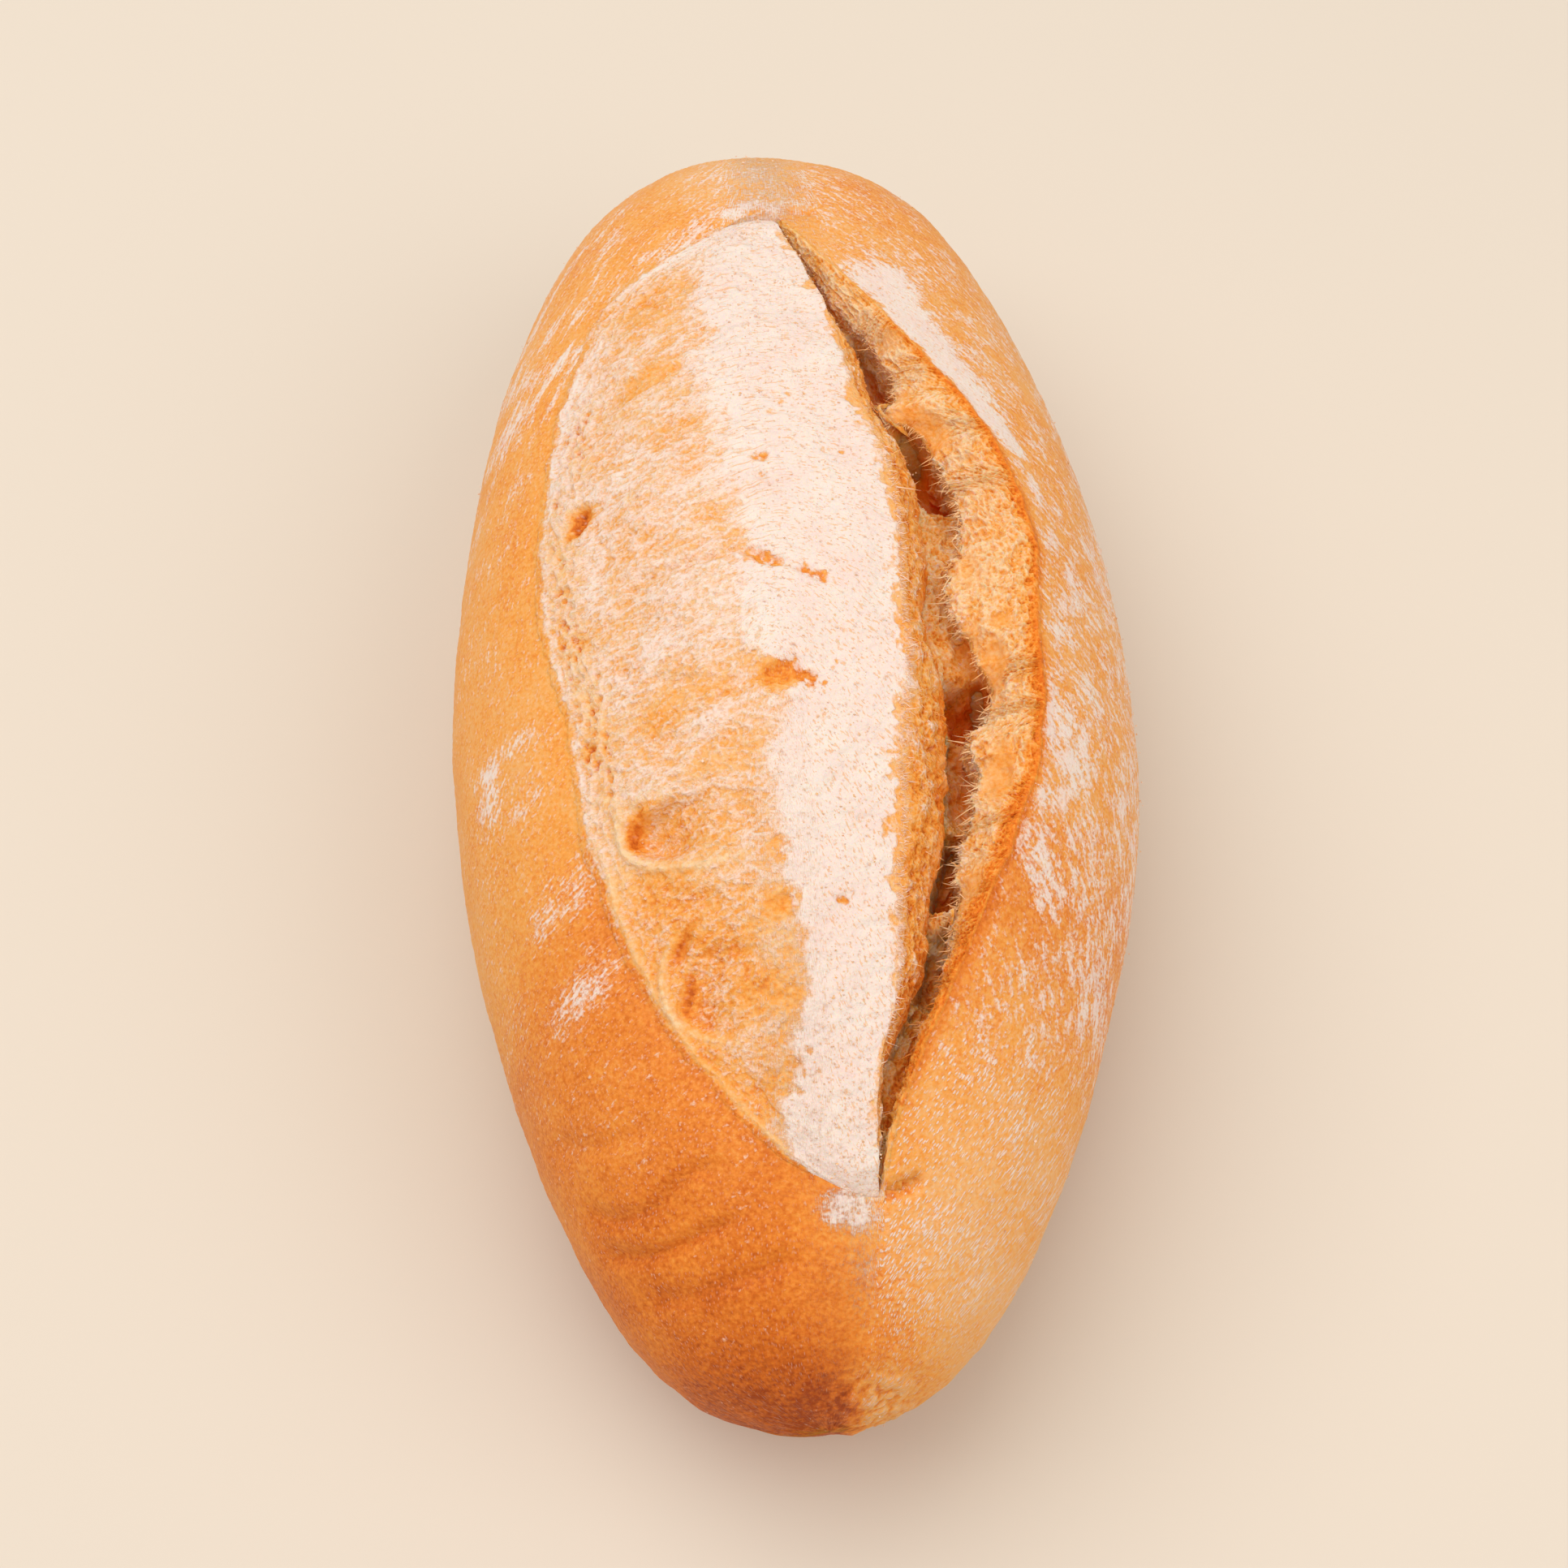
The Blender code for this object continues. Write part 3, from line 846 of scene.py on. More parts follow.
# X, Y, half length, half width, degrees, depth
LEAF_PITS = (
    (-21.8, 12.2, 1.9, 0.95, 68, -1.1), (-16.2, 7.7, 0.5, 0.4, 0, -0.5),
    (-16.3, 0.9, 0.55, 0.45, 0, -0.5), (-17.5, -8.7, 0.5, 0.7, 0, -0.4),
    (-2.9, 12.2, 0.8, 0.6, 0, -0.6), (-3.3, 40.9, 0.45, 0.4, 0, -0.5),
    (4.5, 15.4, 0.9, 0.4, -20, -0.35), (-7.8, -13.6, 0.6, 0.5, 0, -0.4),
    (-2.6, 1.3, 1.5, 0.9, -20, -0.6), (2.0, -0.7, 1.6, 0.7, -25, -0.5),
    (-1.7, -12.0, 2.2, 1.3, 25, -0.75), (1.0, -12.8, 1.3, 0.8, -20, -0.5),
    (-2.7, 14.8, 0.9, 0.9, 0, -0.4), (-2.8, -35.2, 1.1, 0.7, 0, -0.5),
    (2.8, -35.3, 0.9, 0.5, -30, -0.35), (-13.0, -37.8, 2.0, 0.6, 60, -0.35),
    (-12.9, -42.4, 2.2, 0.6, 75, -0.45), (-17.1, -25.2, 1.9, 0.6, 72, -0.6),
)
SEAM_CREST = 0.24           # height of the taut web along the lower seam


def leaf_blister(x, y):
    """A bowl, deepest at its left end, inside a raised rim that runs round the left and below."""
    ring = oval(x, y, BLISTER, BLISTER_HALF, BLISTER_TURN)
    deep = 0.25 + 1.7 * smooth(-8, -17, x)
    inner_edge = 0.80 - 0.45 * smooth(-15, -8, x)
    web = ribbon(x, y, BLISTER_RIM, 0.45, 0.40, 4, 2.2)
    gap, share = from_curve(x, y, BLISTER_TOP, 0.5)
    brow = 0.25 * bell(gap, 1) * np.clip(3 - 3 * share, 0, 1)
    return -deep * smooth(1.03, inner_edge, ring) + web + brow


def leaf_fold(x, y):
    """A shallower bowl with its own rim, which hugs the seam at the near end."""
    ring = oval(x, y, FOLD, FOLD_HALF, FOLD_TURN)
    deep = 0.40 + 0.90 * smooth(-6, -12, x)
    return -deep * smooth(1.1, 0.6, ring) + ribbon(x, y, FOLD_RIM, 0.40, 0.55, 4, 2.5)


def seam_web(from_seam, y, half, amount):
    """The taut web of skin beside the lower seam: a bell half a millimetre from it."""
    return amount * smooth(-20, -32, y) * bell(from_seam - 0.5, half)


def pore_band(from_seam, y):
    """1 in the band of small pores that follows the seam."""
    across = smooth(5.6, 2.5, from_seam) * smooth(0.3, 1.0, from_seam)
    return across * smooth(40, 28, y) * smooth(-34, -16, y)


print("blister %.2f mm deep at its left end" % -leaf_blister(np.full(1, -16.0), np.full(1, -25.5))[0])

# %% [markdown]
# ### The skin between the features
# Between its features the leaf is a net of fine stretched threads with small pores. The
# threads are places where a noise passes through nothing, which gives winding lines, and
# the noise is drawn out along the stretch. Pores are small bubbles, and they crowd into
# the band beside the seam.

# %% Leaf relief
THREAD_TURN = 14            # degrees: the way in which the threads cross the leaf


def weave(x, y, from_seam, points):
    """Fine stretched threads of skin, 0 to 1: they cross the leaf, and beside the seam they follow it."""
    bend = noise(points, 3.5, 57)
    along, over = turned(x, y, THREAD_TURN)
    crossing = noise(np.stack([along / 2.4 + 0.5 * bend, over + 0.5 * bend], -1), 0.95, 58)
    following = noise(np.stack([from_seam + 0.4 * bend, y / 3.5 + 0.6 * bend], -1), 0.8, 59)
    beside = smooth(5.0, 2.0, from_seam + 1.2 * bend)
    mixed = crossing * (1 - beside) + following * beside
    plain = 1 - 0.7 * beside * smooth(-20, -35, y)
    return smooth(0.42, 0.0, np.abs(mixed)) * smooth(3, -5, x) * plain


def leaf_relief(x, y, from_seam, points):
    """All the leaf's relief, in millimetres above its even form."""
    height = leaf_blister(x, y) + leaf_fold(x, y) + creases(x, y, LEAF_FOLDS)
    height += blots(x, y, LEAF_PITS) + LOW_DOME_RISE * bell(oval(x, y, LOW_DOME, LOW_DOME_HALF), 1)
    height += 0.42 * noise(points, 9.0, 51) + 0.24 * noise(points, 3.6, 52)
    height += 0.13 * layered(points * (1, 1.6, 1), 1.5, 53)
    near, _ = bubbles(np.stack([x, y], -1), (0.95, 1.35), 55)
    porous = pore_band(from_seam, y)
    pores = smooth(0.42, 0.12, near) * (0.28 + 0.72 * porous)
    height -= 0.42 * pores * np.clip(0.35 + porous + 0.6 * noise(points, 6.0, 56), 0, 1)
    height += seam_web(from_seam, y, 0.38, SEAM_CREST)
    return height + 0.20 * weave(x, y, from_seam, points)


print("threads over the middle: %.2f" % weave(*np.zeros((3, 1)), np.zeros((1, 3))).max())

# %% [markdown]
# ### Laying out the leaf
# The section starts with a hem that lies on the edge of the crust and dives into it, so
# that the join is a soft step and not a slit. It rises to the crest, rolls over the rim
# and comes back underneath. The roll-over is open crumb, so it gets bubbles of its own.

# %% Leaf grid
def half_wave(share):
    """From 0 to 1 along half a cosine wave."""
    return 0.5 - 0.5 * np.cos(math.pi * np.clip(share, 0, 1))


def leaf_level(share):
    """Height along the leaf from seam to rim: half a wave up to the crest and half a wave down."""
    up = SEAM_LEVEL + (CREST_LEVEL - SEAM_LEVEL) * half_wave(share / CREST_SHARE)
    return up - (CREST_LEVEL - RIM_LEVEL) * half_wave((share - CREST_SHARE) / (1 - CREST_SHARE))


def leaf_grid():
    """X, Y and height above the dome of the leaf: its hem, its top, its roll-over and its underside."""
    row_y = leaf_stations[:, None]
    share = (np.arange(LEAF_COLUMNS[1]) / LEAF_COLUMNS[1])[None, :]
    top_x = seam_x[:, None] + HEM_END + ((rim_x - seam_x)[:, None] - HEM_END) * share
    top_h = leaf_level(share) * opened[:, None] + HEM_LIFT * np.exp(-(top_x - seam_x[:, None]) / 2)
    turn = np.linspace(0, 0.5 * math.pi, LEAF_COLUMNS[2], endpoint=False)[None, :]
    drop = RIM_LEVEL - LIP_LEVEL
    roll_x = rim_x[:, None] + (lip_x - rim_x)[:, None] * np.sin(turn) ** 0.9
    roll_h = (RIM_LEVEL - drop * (1 - np.cos(turn)) ** 0.85) * opened[:, None]
    hem_x = bands([seam_x - OVERLAP, seam_x + HEM_END], LEAF_COLUMNS[:1])
    sunk = HEM_SINK * smooth(-0.25 * OVERLAP, -OVERLAP, hem_x - seam_x[:, None])
    hem_h = seam_side(hem_x, on_slash(row_y) + 0 * hem_x) + HEM_LIFT - sunk
    under_x = bands([lip_x, lip_x - 1.2 * opened, seam_x - 0.5 * opened], LEAF_COLUMNS[3:])
    under_h = bands([LIP_LEVEL * opened, -9.5 * opened - 0.8, -3.2 * opened - 0.4], LEAF_COLUMNS[3:])
    grid_x = np.concatenate([hem_x, top_x, roll_x, under_x], axis=1)
    grid_h = np.concatenate([hem_h, top_h, roll_h, under_h], axis=1)
    return grid_x, row_y + 0 * grid_x, grid_h - sink_at_tips(row_y)


leaf_x, leaf_y, leaf_height = leaf_grid()
leaf_points = np.stack([leaf_x, leaf_y, dome(leaf_x, leaf_y) + leaf_height], -1)
column = np.arange(leaf_x.shape[1])
past_rim = (np.clip(column - sum(LEAF_COLUMNS[:2]), 0, LEAF_COLUMNS[2]) / LEAF_COLUMNS[2])[None, :]
seam_gap = leaf_x - seam_x[:, None]
rolled_places = np.stack([7.0 * past_rim + 0 * leaf_y, leaf_y], -1)
large_holes, _ = bubbles(rolled_places, (1.1, 1.5), 66)
small_holes, _ = bubbles(rolled_places, (0.62, 0.75), 67)
rolled = 0.25 * layered(leaf_points, 2.2, 61)
rolled -= 0.34 * smooth(0.55, 0.1, large_holes) + 0.22 * smooth(0.55, 0.1, small_holes)
on_roll = smooth(0, 0.35, past_rim)
lumps = leaf_relief(leaf_x, leaf_y, seam_gap, leaf_points) * (1 - on_roll) + rolled * on_roll
on_top = column < sum(LEAF_COLUMNS[:3])
lumps *= on_top * smooth(-1.8, 0.8, seam_gap) * smooth(0, 0.35, opened[:, None])
leaf_points += normals_of(leaf_points) * lumps[..., None]
print("leaf relief from %.2f to %.2f mm" % (lumps.min(), lumps.max()))

# %% [markdown]
# ## Bake and flour of the leaf
# The right half of the leaf kept its coat of flour, which ends on the left in a ragged
# edge near the crest. The left half was stretched, so the coat broke into specks with
# gold between them. Valleys, pores and the hollows of the two dents are painted darker than
# the rims, as painted shade.

# %% Where the leaf is bare
# X of the left edge of the thick flour at a few Y
FLOUR_EDGE = (
    (-62, -2.0), (-57, -3.2), (-53, -3.0), (-49, -2.0), (-44, -0.2), (-38, -0.6), (-32, -2.2),
    (-26, -2.0), (-20, -1.8), (-16, -0.6), (-12.4, 0.8), (-9.0, -3.4), (-2, -4.6), (3, -3.2),
    (6, -2.6), (12, -2.8), (21, -4.4), (29, -5.0), (38, -5.2), (50, -4.4), (56, -0.6))
# X, Y, half length, half width, degrees, amount
BARE_SPOTS = (
    (-17.0, 42.0, 6.0, 5.0, 30, 0.20), (-13.8, 28.9, 3.4, 1.9, 30, 0.34),
    (-10.5, 20.0, 5.0, 2.0, 12, 0.14), (-3.0, 1.4, 1.9, 1.2, -20, 0.75),
    (2.0, -0.7, 2.2, 1.0, -25, 0.80), (-1.7, -11.8, 2.9, 1.9, 25, 0.80),
    (1.2, -12.8, 1.6, 1.0, -20, 0.70), (-2.6, 14.6, 1.3, 1.2, 0, 0.60),
    (-12.6, -13.8, 4.6, 2.2, 10, 0.28), (-9.5, -26.2, 6.8, 2.9, 0, 0.16),
    (-9.0, -20.8, 5.0, 1.2, -6, 0.20), (-2.9, -30.2, 1.5, 1.8, 40, 0.40),
    (-3.0, -35.4, 2.0, 1.3, 20, 0.62), (2.8, -35.3, 1.3, 0.8, -30, 0.40),
    (-13.0, -33.0, 3.0, 5.0, 30, 0.20), (-7.6, -41.5, 5.2, 4.4, 30, 0.10),
    (-4.0, -43.6, 3.0, 2.2, -20, 0.14), (-16.6, -31.5, 2.4, 6.0, 30, 0.12),
    (-18.5, 21.0, 2.2, 6.0, -10, 0.06), (5.6, 15.6, 1.4, 0.7, -20, 0.35),
    (-21.8, 12.2, 2.2, 1.2, 68, 0.6), (-1.6, -49.6, 2.0, 1.2, 10, 0.20),
    (-5.8, -19.0, 4.4, 1.0, -8, 0.12), (-20.6, -14.0, 1.6, 7.0, 8, 0.10),
)
WELL_BARE = [spot for spot in BARE_SPOTS if spot[5] > 0.3]     # these break the white coat too
# Amount and points of the shaded curves inside the two dents, and of the taut rims round them
SHADED = (
    (1.0, ((-17.0, -27.6), (-17.6, -26.2), (-17.2, -24.8), (-15.9, -23.6), (-13.6, -22.9))),
    (0.5, ((-14.0, -39.4), (-13.6, -38.0), (-12.8, -36.8), (-11.2, -36.0))),
    (0.7, ((-13.3, -44.4), (-12.8, -43.2), (-12.5, -41.6), (-12.4, -40.2))),
)
TAUT = ((1.0, BLISTER_RIM), (1.1, FOLD_RIM), (0.6, BLISTER_TOP))


def near_curves(x, y, curves, half):
    """The strongest of several ribbons, each (amount, points)."""
    best = np.zeros(x.shape)
    for amount, points in curves:
        best = np.maximum(best, ribbon(x, y, points, half, amount, 5, 4))
    return best


def on_crust(gap, points):
    """1 where an inner piece's hem lies over the crust and has to look like it."""
    return smooth(0.10, -0.40, gap + 0.25 * noise(points, 1.5, 76))


print("%d bare spots, %d of them on the white half" % (len(BARE_SPOTS), len(WELL_BARE)))

# %% [markdown]
# ### Painting the leaf
# Two maps are mixed: the thick coat on the right, broken where bubbles burst and in the
# deepest grooves, and the stretched net on the left, lighter on its threads. The rolled
# rim is open crumb and keeps only the flour that fell on it. The hem takes the colours of
# the crust beneath it.

# %% Leaf colours
NET_FLOUR = 0.44            # flour on the stretched left half
COAT, COAT_WEAR = 1.22, 0.42            # flour on the right half, and the most that wore off it
LEAF_GOLD = 0.30            # bake of the leaf


def leaf_flour(x, y, points, lumps, seam_gap, past_rim):
    """Share of the leaf under flour."""
    torn = 0.9 * noise(points, 3.0, 71) + 0.7 * noise(points, 1.2, 72)
    spread = 1.7 + 2.8 * smooth(-4, 24, y)
    edge = np.interp(y, *zip(*FLOUR_EDGE))
    thick = smooth(-spread, 0.9 * spread, x - edge - 0.5 + 0.5 * spread + torn)
    left = NET_FLOUR + 0.15 * noise(points, 4.5, 73) + 0.20 * weave(x, y, seam_gap, points)
    # Raised places get a little more flour and the dents' shaded curves lose theirs: paler tops and painted
    # shade.
    left += 0.08 * smooth(-0.15, 0.35, lumps)
    left -= 0.08 * smooth(24, 40, y) + 0.50 * near_curves(x, y, SHADED, 0.6)
    left -= 0.25 * near_curves(x, y, TAUT, 0.6)
    left -= seam_web(seam_gap, y, 0.4, 0.25)
    left += blots(x, y, ((-8.3, -2.4, 6.5, 4.2, 0, 0.10),)) - 0.13 * smooth(-26, -38, y)
    left = left - blots(x, y, BARE_SPOTS)
    left -= 0.14 * pore_band(seam_gap, y)
    left += 0.26 * smooth(8, 26, y) * bell(seam_gap - 1.0, 2.0)
    sunk = smooth(-0.10, -0.42, lumps)
    broken = np.clip(0.75 + 1.1 * noise(points, 0.8, 80), 0.1, 1.6)
    coat = COAT - COAT_WEAR * smooth(0.10, 0.55, noise(points, (0.7, 1.3, 1.0), 83))
    coat = coat - (0.95 * blots(x, y, WELL_BARE) + 0.42 * sunk) * broken
    cover = left * (1 - thick) + coat * thick
    ragged_rim = 0.03 + 0.16 * noise(points, 1.6, 74) + 0.08 * noise(points, 0.6, 75)
    rolled_over = smooth(ragged_rim - 0.10, ragged_rim + 0.16, past_rim) * (past_rim > 0)
    to_rim = x - rim_x[:, None] + 1.2 * noise(points, 2.4, 78) + 0.9 * noise(points, 0.8, 79)
    rolled_over = np.maximum(rolled_over, smooth(-1.0, 0.1, to_rim) * (opened[:, None] > 0.3))
    grainy = 0.20 + 0.45 * smooth(-0.15, 0.25, lumps) + 0.20 * noise(points, 1.1, 77)
    cover = cover * (1 - rolled_over) + grainy * rolled_over * smooth(1.0, 0.55, past_rim)
    hem = on_crust(seam_gap, points)
    return cover * (1 - hem) + crust_flour(x, y, points[..., 2]) * hem


def leaf_bake_and_shade(x, y, points, lumps, seam_gap, past_rim):
    """Bake of the leaf with painted shade: pale gold, darker in the valleys, the dents and the pores as
    painted shade, and golden brown on the roll-over, darker in its holes.
    """
    # Lower places are painted darker and raised ones paler, as painted shade.
    bake_and_shade = LEAF_GOLD + 0.05 * noise(points, 5.0, 81) - 0.10 * np.clip(lumps, -1.2, 0.8)
    bake_and_shade -= 0.10 * weave(x, y, seam_gap, points)
    bake_and_shade += 0.30 * blots(x, y, BARE_SPOTS) + 0.16 * smooth(-24, -42, y) * smooth(-1, -9, x)
    bake_and_shade -= seam_web(seam_gap, y, 0.4, 0.16)
    # The bottoms of the pores beside the seam are painted darker, as painted shade.
    bake_and_shade += pore_band(seam_gap, y) * (0.45 * smooth(-0.05, -0.4, lumps) - 0.10)
    # Painted shade inside the dents; the taut rims round them are paler skin.
    bake_and_shade += 0.42 * near_curves(x, y, SHADED, 0.42) - 0.20 * near_curves(x, y, TAUT, 0.5)
    turned_over = 0.42 + 0.14 * noise(points, 3.0, 82) + 0.06 * smooth(0.3, 1.0, past_rim)
    # The roll-over's holes are painted darker, as painted shade.
    turned_over -= 0.50 * np.clip(lumps, -0.6, 0.3) - 0.12 * smooth(0.35, 0.1, past_rim)
    over = smooth(0.05, 0.30, past_rim)
    bake_and_shade = bake_and_shade * (1 - over) + turned_over * over
    hem = on_crust(seam_gap, points)
    from_ear = x - line_x(EAR, on_slash(y))
    return bake_and_shade * (1 - hem) + crust_bake_and_shade(x, y, points[..., 2], from_ear, -seam_gap) * hem


leaf_place = (leaf_x, leaf_y, leaf_points, lumps, seam_gap, past_rim)
leaf_dusted = np.clip(leaf_flour(*leaf_place), 0, MOST_FLOUR)
leaf_baked_and_shaded = leaf_bake_and_shade(*leaf_place)
print("flour over %.2f of the leaf" % leaf_dusted.mean())

# %% [markdown]
# ### Grain of the leaf
# On the left the skin was pulled across the roll. On the right it was pulled towards the
# rim, more steeply the nearer the near end. Past the rim the grain runs on down the
# roll-over, where two more numbers say that it is open crumb and how much painted shade it
# takes as it turns under into the crack.

# %% Leaf grain
LEFT_PULL = 16.0
RIGHT_PULL = ((-60, -62.0), (-35, -55.0), (-15, -45.0), (0, -28.0), (20, -4.0), (56, 10.0))
side = smooth(-7, 1, leaf_x)
pulled = LEFT_PULL * (1 - side) + np.interp(leaf_y, *zip(*RIGHT_PULL)) * side
leaf_grain = grain_of(leaf_x, leaf_y, 2 * leaf_height, pulled)
leaf_grain[..., 1] += 5.0 * past_rim
# The last number is painted shade on the roll-over, strongest where it turns under into the crack.
bloom = closed_loft("bloom", leaf_points, {
    "bake_and_shade": leaf_baked_and_shaded, "flour": leaf_dusted, "grain": leaf_grain,
    "sponge": smooth(0.05, 0.3, past_rim) + 0 * leaf_y,
    "shade_and_ear_red": 0.45 * smooth(0.5, 1.0, past_rim) + 0 * leaf_y})

# %% [markdown]
# ## The torn crumb
# When the ear lifted it tore the dough open, so its underside is bare crumb: a sponge of
# bubbles with thin walls. The tear ends in a frayed edge above the dark crack, and a few
# webs still reach across. Here the section runs over the floor of the crack, up the
# broken wall and over the sponge to the ear.

# %% Crumb sections
CRUMB_ROWS = 728
# Columns of the floor, the broken wall, the sponge, the hem and three bands beneath
CRUMB_COLUMNS = (26, 26, 60, 12, 4, 4, 3)
FLOOR_LEVEL, EDGE_LEVEL = -6.6, -3.4
EAR_HEM_LIFT, EAR_HEM_SINK = 0.06, 0.45     # as for the leaf's hem
TAIL_THICK = 2.0            # thickness of the crumb beneath the floor
# Y, half length and extra depth of each cavity, and of each web that bridges the crack (below 0)
CAVITIES = (
    (32.5, 3.6, 6.0), (24.2, 1.9, -4.0), (18.2, 3.4, 6.0), (2.0, 8.0, -1.6),
    (-11.0, 2.6, 7.0), (-19.0, 4.4, 2.5), (-27.5, 2.0, 5.0), (-31.2, 1.8, 5.5),
    (-34.8, 1.3, -3.4), (-39.8, 2.6, 4.0), (-49.0, 6.0, 0.5),
)


def floor_level(y):
    """Height of the crack's floor, with its cavities and bridges. It is shallow at both ends."""
    deep = sum(depth * np.exp(-((y - place) / half) ** 4) for place, half, depth in CAVITIES)
    shallow = 0.40 + 0.60 * smooth(-61, -48, y) * smooth(55, 44, y)
    return (FLOOR_LEVEL - deep) * shallow


def frayed(y, seed):
    """Ragged shift of a torn edge: noise at 8, 2.6 and 0.9 mm."""
    fine = 0.45 * line_noise(y, 0.9, seed + 2)
    return 0.8 * line_noise(y, 8.0, seed) + 0.75 * line_noise(y, 2.6, seed + 1) + fine


crumb_stations = inner_rows(CRUMB_ROWS)
crumb_open = opening(crumb_stations)
ear_x, crumb_lip = line_x(EAR, crumb_stations), line_x(LIP, crumb_stations)
width_left = ear_x - crumb_lip
edge_x = line_x(TORN_EDGE, crumb_stations) + np.minimum(0.7, 0.09 * width_left) * frayed(crumb_stations, 91)
edge_x = np.minimum(edge_x, ear_x - 0.12 * width_left - 0.2)
foot_x = edge_x + 0.3 * crumb_open
left_x = np.minimum(crumb_lip - 0.9 * crumb_open, foot_x - 0.3)
floor_h = floor_level(crumb_stations) * crumb_open
print("crumb band up to %.1f mm wide" % (ear_x - edge_x).max())

# %% [markdown]
# ## Bubbles and webs
# Torn crumb shows bubbles of every size. Three layers of cell noise, each smaller than
# the last, sink round hollows and leave walls between them. Smooth pockets, where a large
# bubble's skin survived, get no small bubbles. The relief moves points along the normal,
# so that the broken wall of the crack is as rough as the sponge above it.

# %% Crumb relief
# X, Y, half length, half width, degrees, depth
POCKETS = (
    (14.8, 22.0, 3.6, 1.9, -40, -0.9), (19.6, -8.2, 3.0, 1.4, 80, -0.9), (19.2, -20.2, 3.4, 1.5, 75, -0.7),
    (17.6, -5.0, 2.4, 1.2, 80, -0.5), (20.8, -3.4, 1.2, 0.9, 0, -0.7), (12.6, 33.5, 1.6, 1.0, -30, -0.4),
    (15.0, -32.4, 2.8, 1.1, 65, -0.5), (18.2, 3.5, 3.0, 1.4, 85, -0.35), (13.0, 26.5, 1.2, 0.8, 0, -0.4),
)
# Size across and along, depth and seed of each layer of bubbles
BUBBLE_LAYERS = (((1.7, 2.0), 0.20, 102), ((0.90, 1.05), 0.22, 103), ((0.50, 0.58), 0.18, 104))
DEEP_BUBBLE = 0.42          # a hollow this deep counts as the inside of a bubble


def crumb_relief(points, across):
    """Height of the sponge, how deep in a bubble each point lies (0 to 1), and how calm it is."""
    warp = 0.35 * noise(points, 1.6, 101)
    places = np.stack([across, points[..., 1]], -1) + np.stack([warp, -warp], -1)
    height = np.zeros(across.shape)
    for size, depth, seed in BUBBLE_LAYERS:
        near, second = bubbles(places, size, seed)
        height -= depth * smooth(0.62, 0.10, near) - 0.35 * depth * smooth(0.16, 0.0, second - near)
    pockets = blots(points[..., 0], points[..., 1], POCKETS)
    calm = np.clip(-pockets * 1.6, 0, 1)
    inside = np.clip(-height / DEEP_BUBBLE, 0, 1) * (1 - calm)
    height = height * (1 - 0.85 * calm) + pockets
    return height + 0.30 * noise(points, 4.5, 105) + 0.22 * noise(points, 1.5, 106), inside, calm


def shares(count):
    """Even steps from 0 to just below 1, as one row."""
    return np.linspace(0, 1, count, endpoint=False)[None, :]


def crumb_grid():
    """X, Y and height above the dome of the crumb: floor, broken wall, sponge, hem and underside."""
    held = on_slash(crumb_stations)
    share = shares(CRUMB_COLUMNS[1])
    wall_x = foot_x[:, None] + (edge_x - foot_x)[:, None] * (1 - (1 - share) ** 1.2) ** 0.8
    edge_h = (EDGE_LEVEL + 0.5 * line_noise(crumb_stations, 5.0, 96)) * crumb_open
    wall_h = floor_h[:, None] + (edge_h - floor_h)[:, None] * smooth(-0.25, 1.0, share) ** 1.4
    wall_h += (edge_h - wall_h[:, -1])[:, None] * share ** 6
    share = shares(CRUMB_COLUMNS[2])
    face_x = edge_x[:, None] + (ear_x - edge_x)[:, None] * share
    climb = 0.35 * share + 0.65 * np.sin(0.5 * math.pi * share)
    face_h = edge_h[:, None] + (ear_side(ear_x, held) + EAR_HEM_LIFT - edge_h)[:, None] * climb
    floor_x = bands([left_x, foot_x], CRUMB_COLUMNS[:1])
    down = smooth(0, 0.5, shares(CRUMB_COLUMNS[0]))
    rest_h = (LIP_LEVEL - 0.3) * crumb_open[:, None] * (1 - down) + floor_h[:, None] * down
    over_x = bands([ear_x, ear_x + OVERLAP], CRUMB_COLUMNS[3:4])
    sunk = EAR_HEM_SINK * smooth(0.0, 1.0, (over_x - ear_x[:, None]) / OVERLAP)
    over_h = ear_side(over_x, held[:, None] + 0 * over_x) + EAR_HEM_LIFT - sunk
    under_ear = ear_x - 0.4 * crumb_open
    under_foot = np.minimum(foot_x + 1.6 * crumb_open, under_ear)
    tail_x = bands([ear_x + OVERLAP, under_ear, under_foot, left_x], CRUMB_COLUMNS[4:])
    below = floor_h - TAIL_THICK
    tail_h = bands([over_h[:, -1], -4.0 * crumb_open - 0.6, below, below], CRUMB_COLUMNS[4:])
    grid_x = np.concatenate([floor_x, wall_x, face_x, over_x, tail_x], axis=1)
    grid_h = np.concatenate([rest_h, wall_h, face_h, over_h, tail_h], axis=1)
    row_y = crumb_stations[:, None] + 0 * grid_x
    return grid_x, row_y, grid_h - sink_at_tips(row_y)


crumb_x, crumb_y, crumb_height = crumb_grid()
crumb_points = np.stack([crumb_x, crumb_y, dome(crumb_x, crumb_y) + crumb_height], -1)
section = crumb_points[..., [0, 2]]
across = np.cumsum(np.linalg.norm(np.diff(section, axis=1, prepend=section[:, :1]), axis=-1), axis=1)
sponge, inside, calm = crumb_relief(crumb_points, across)
column = np.arange(crumb_x.shape[1])
shown = column < sum(CRUMB_COLUMNS[:4])
wall_share = np.clip((column - CRUMB_COLUMNS[0]) / CRUMB_COLUMNS[1], 0, 1)[None, :]
face_share = np.clip((column - sum(CRUMB_COLUMNS[:2])) / CRUMB_COLUMNS[2], 0, 1)[None, :]
ear_gap = crumb_x - ear_x[:, None]
strength = shown * smooth(0, 0.4, crumb_open[:, None]) * (1 - 0.4 * smooth(18, 30, crumb_y))
strength = strength * (0.05 + 0.95 * smooth(0.2, -0.5, ear_gap))
crumb_points += normals_of(crumb_points) * (sponge * strength)[..., None]
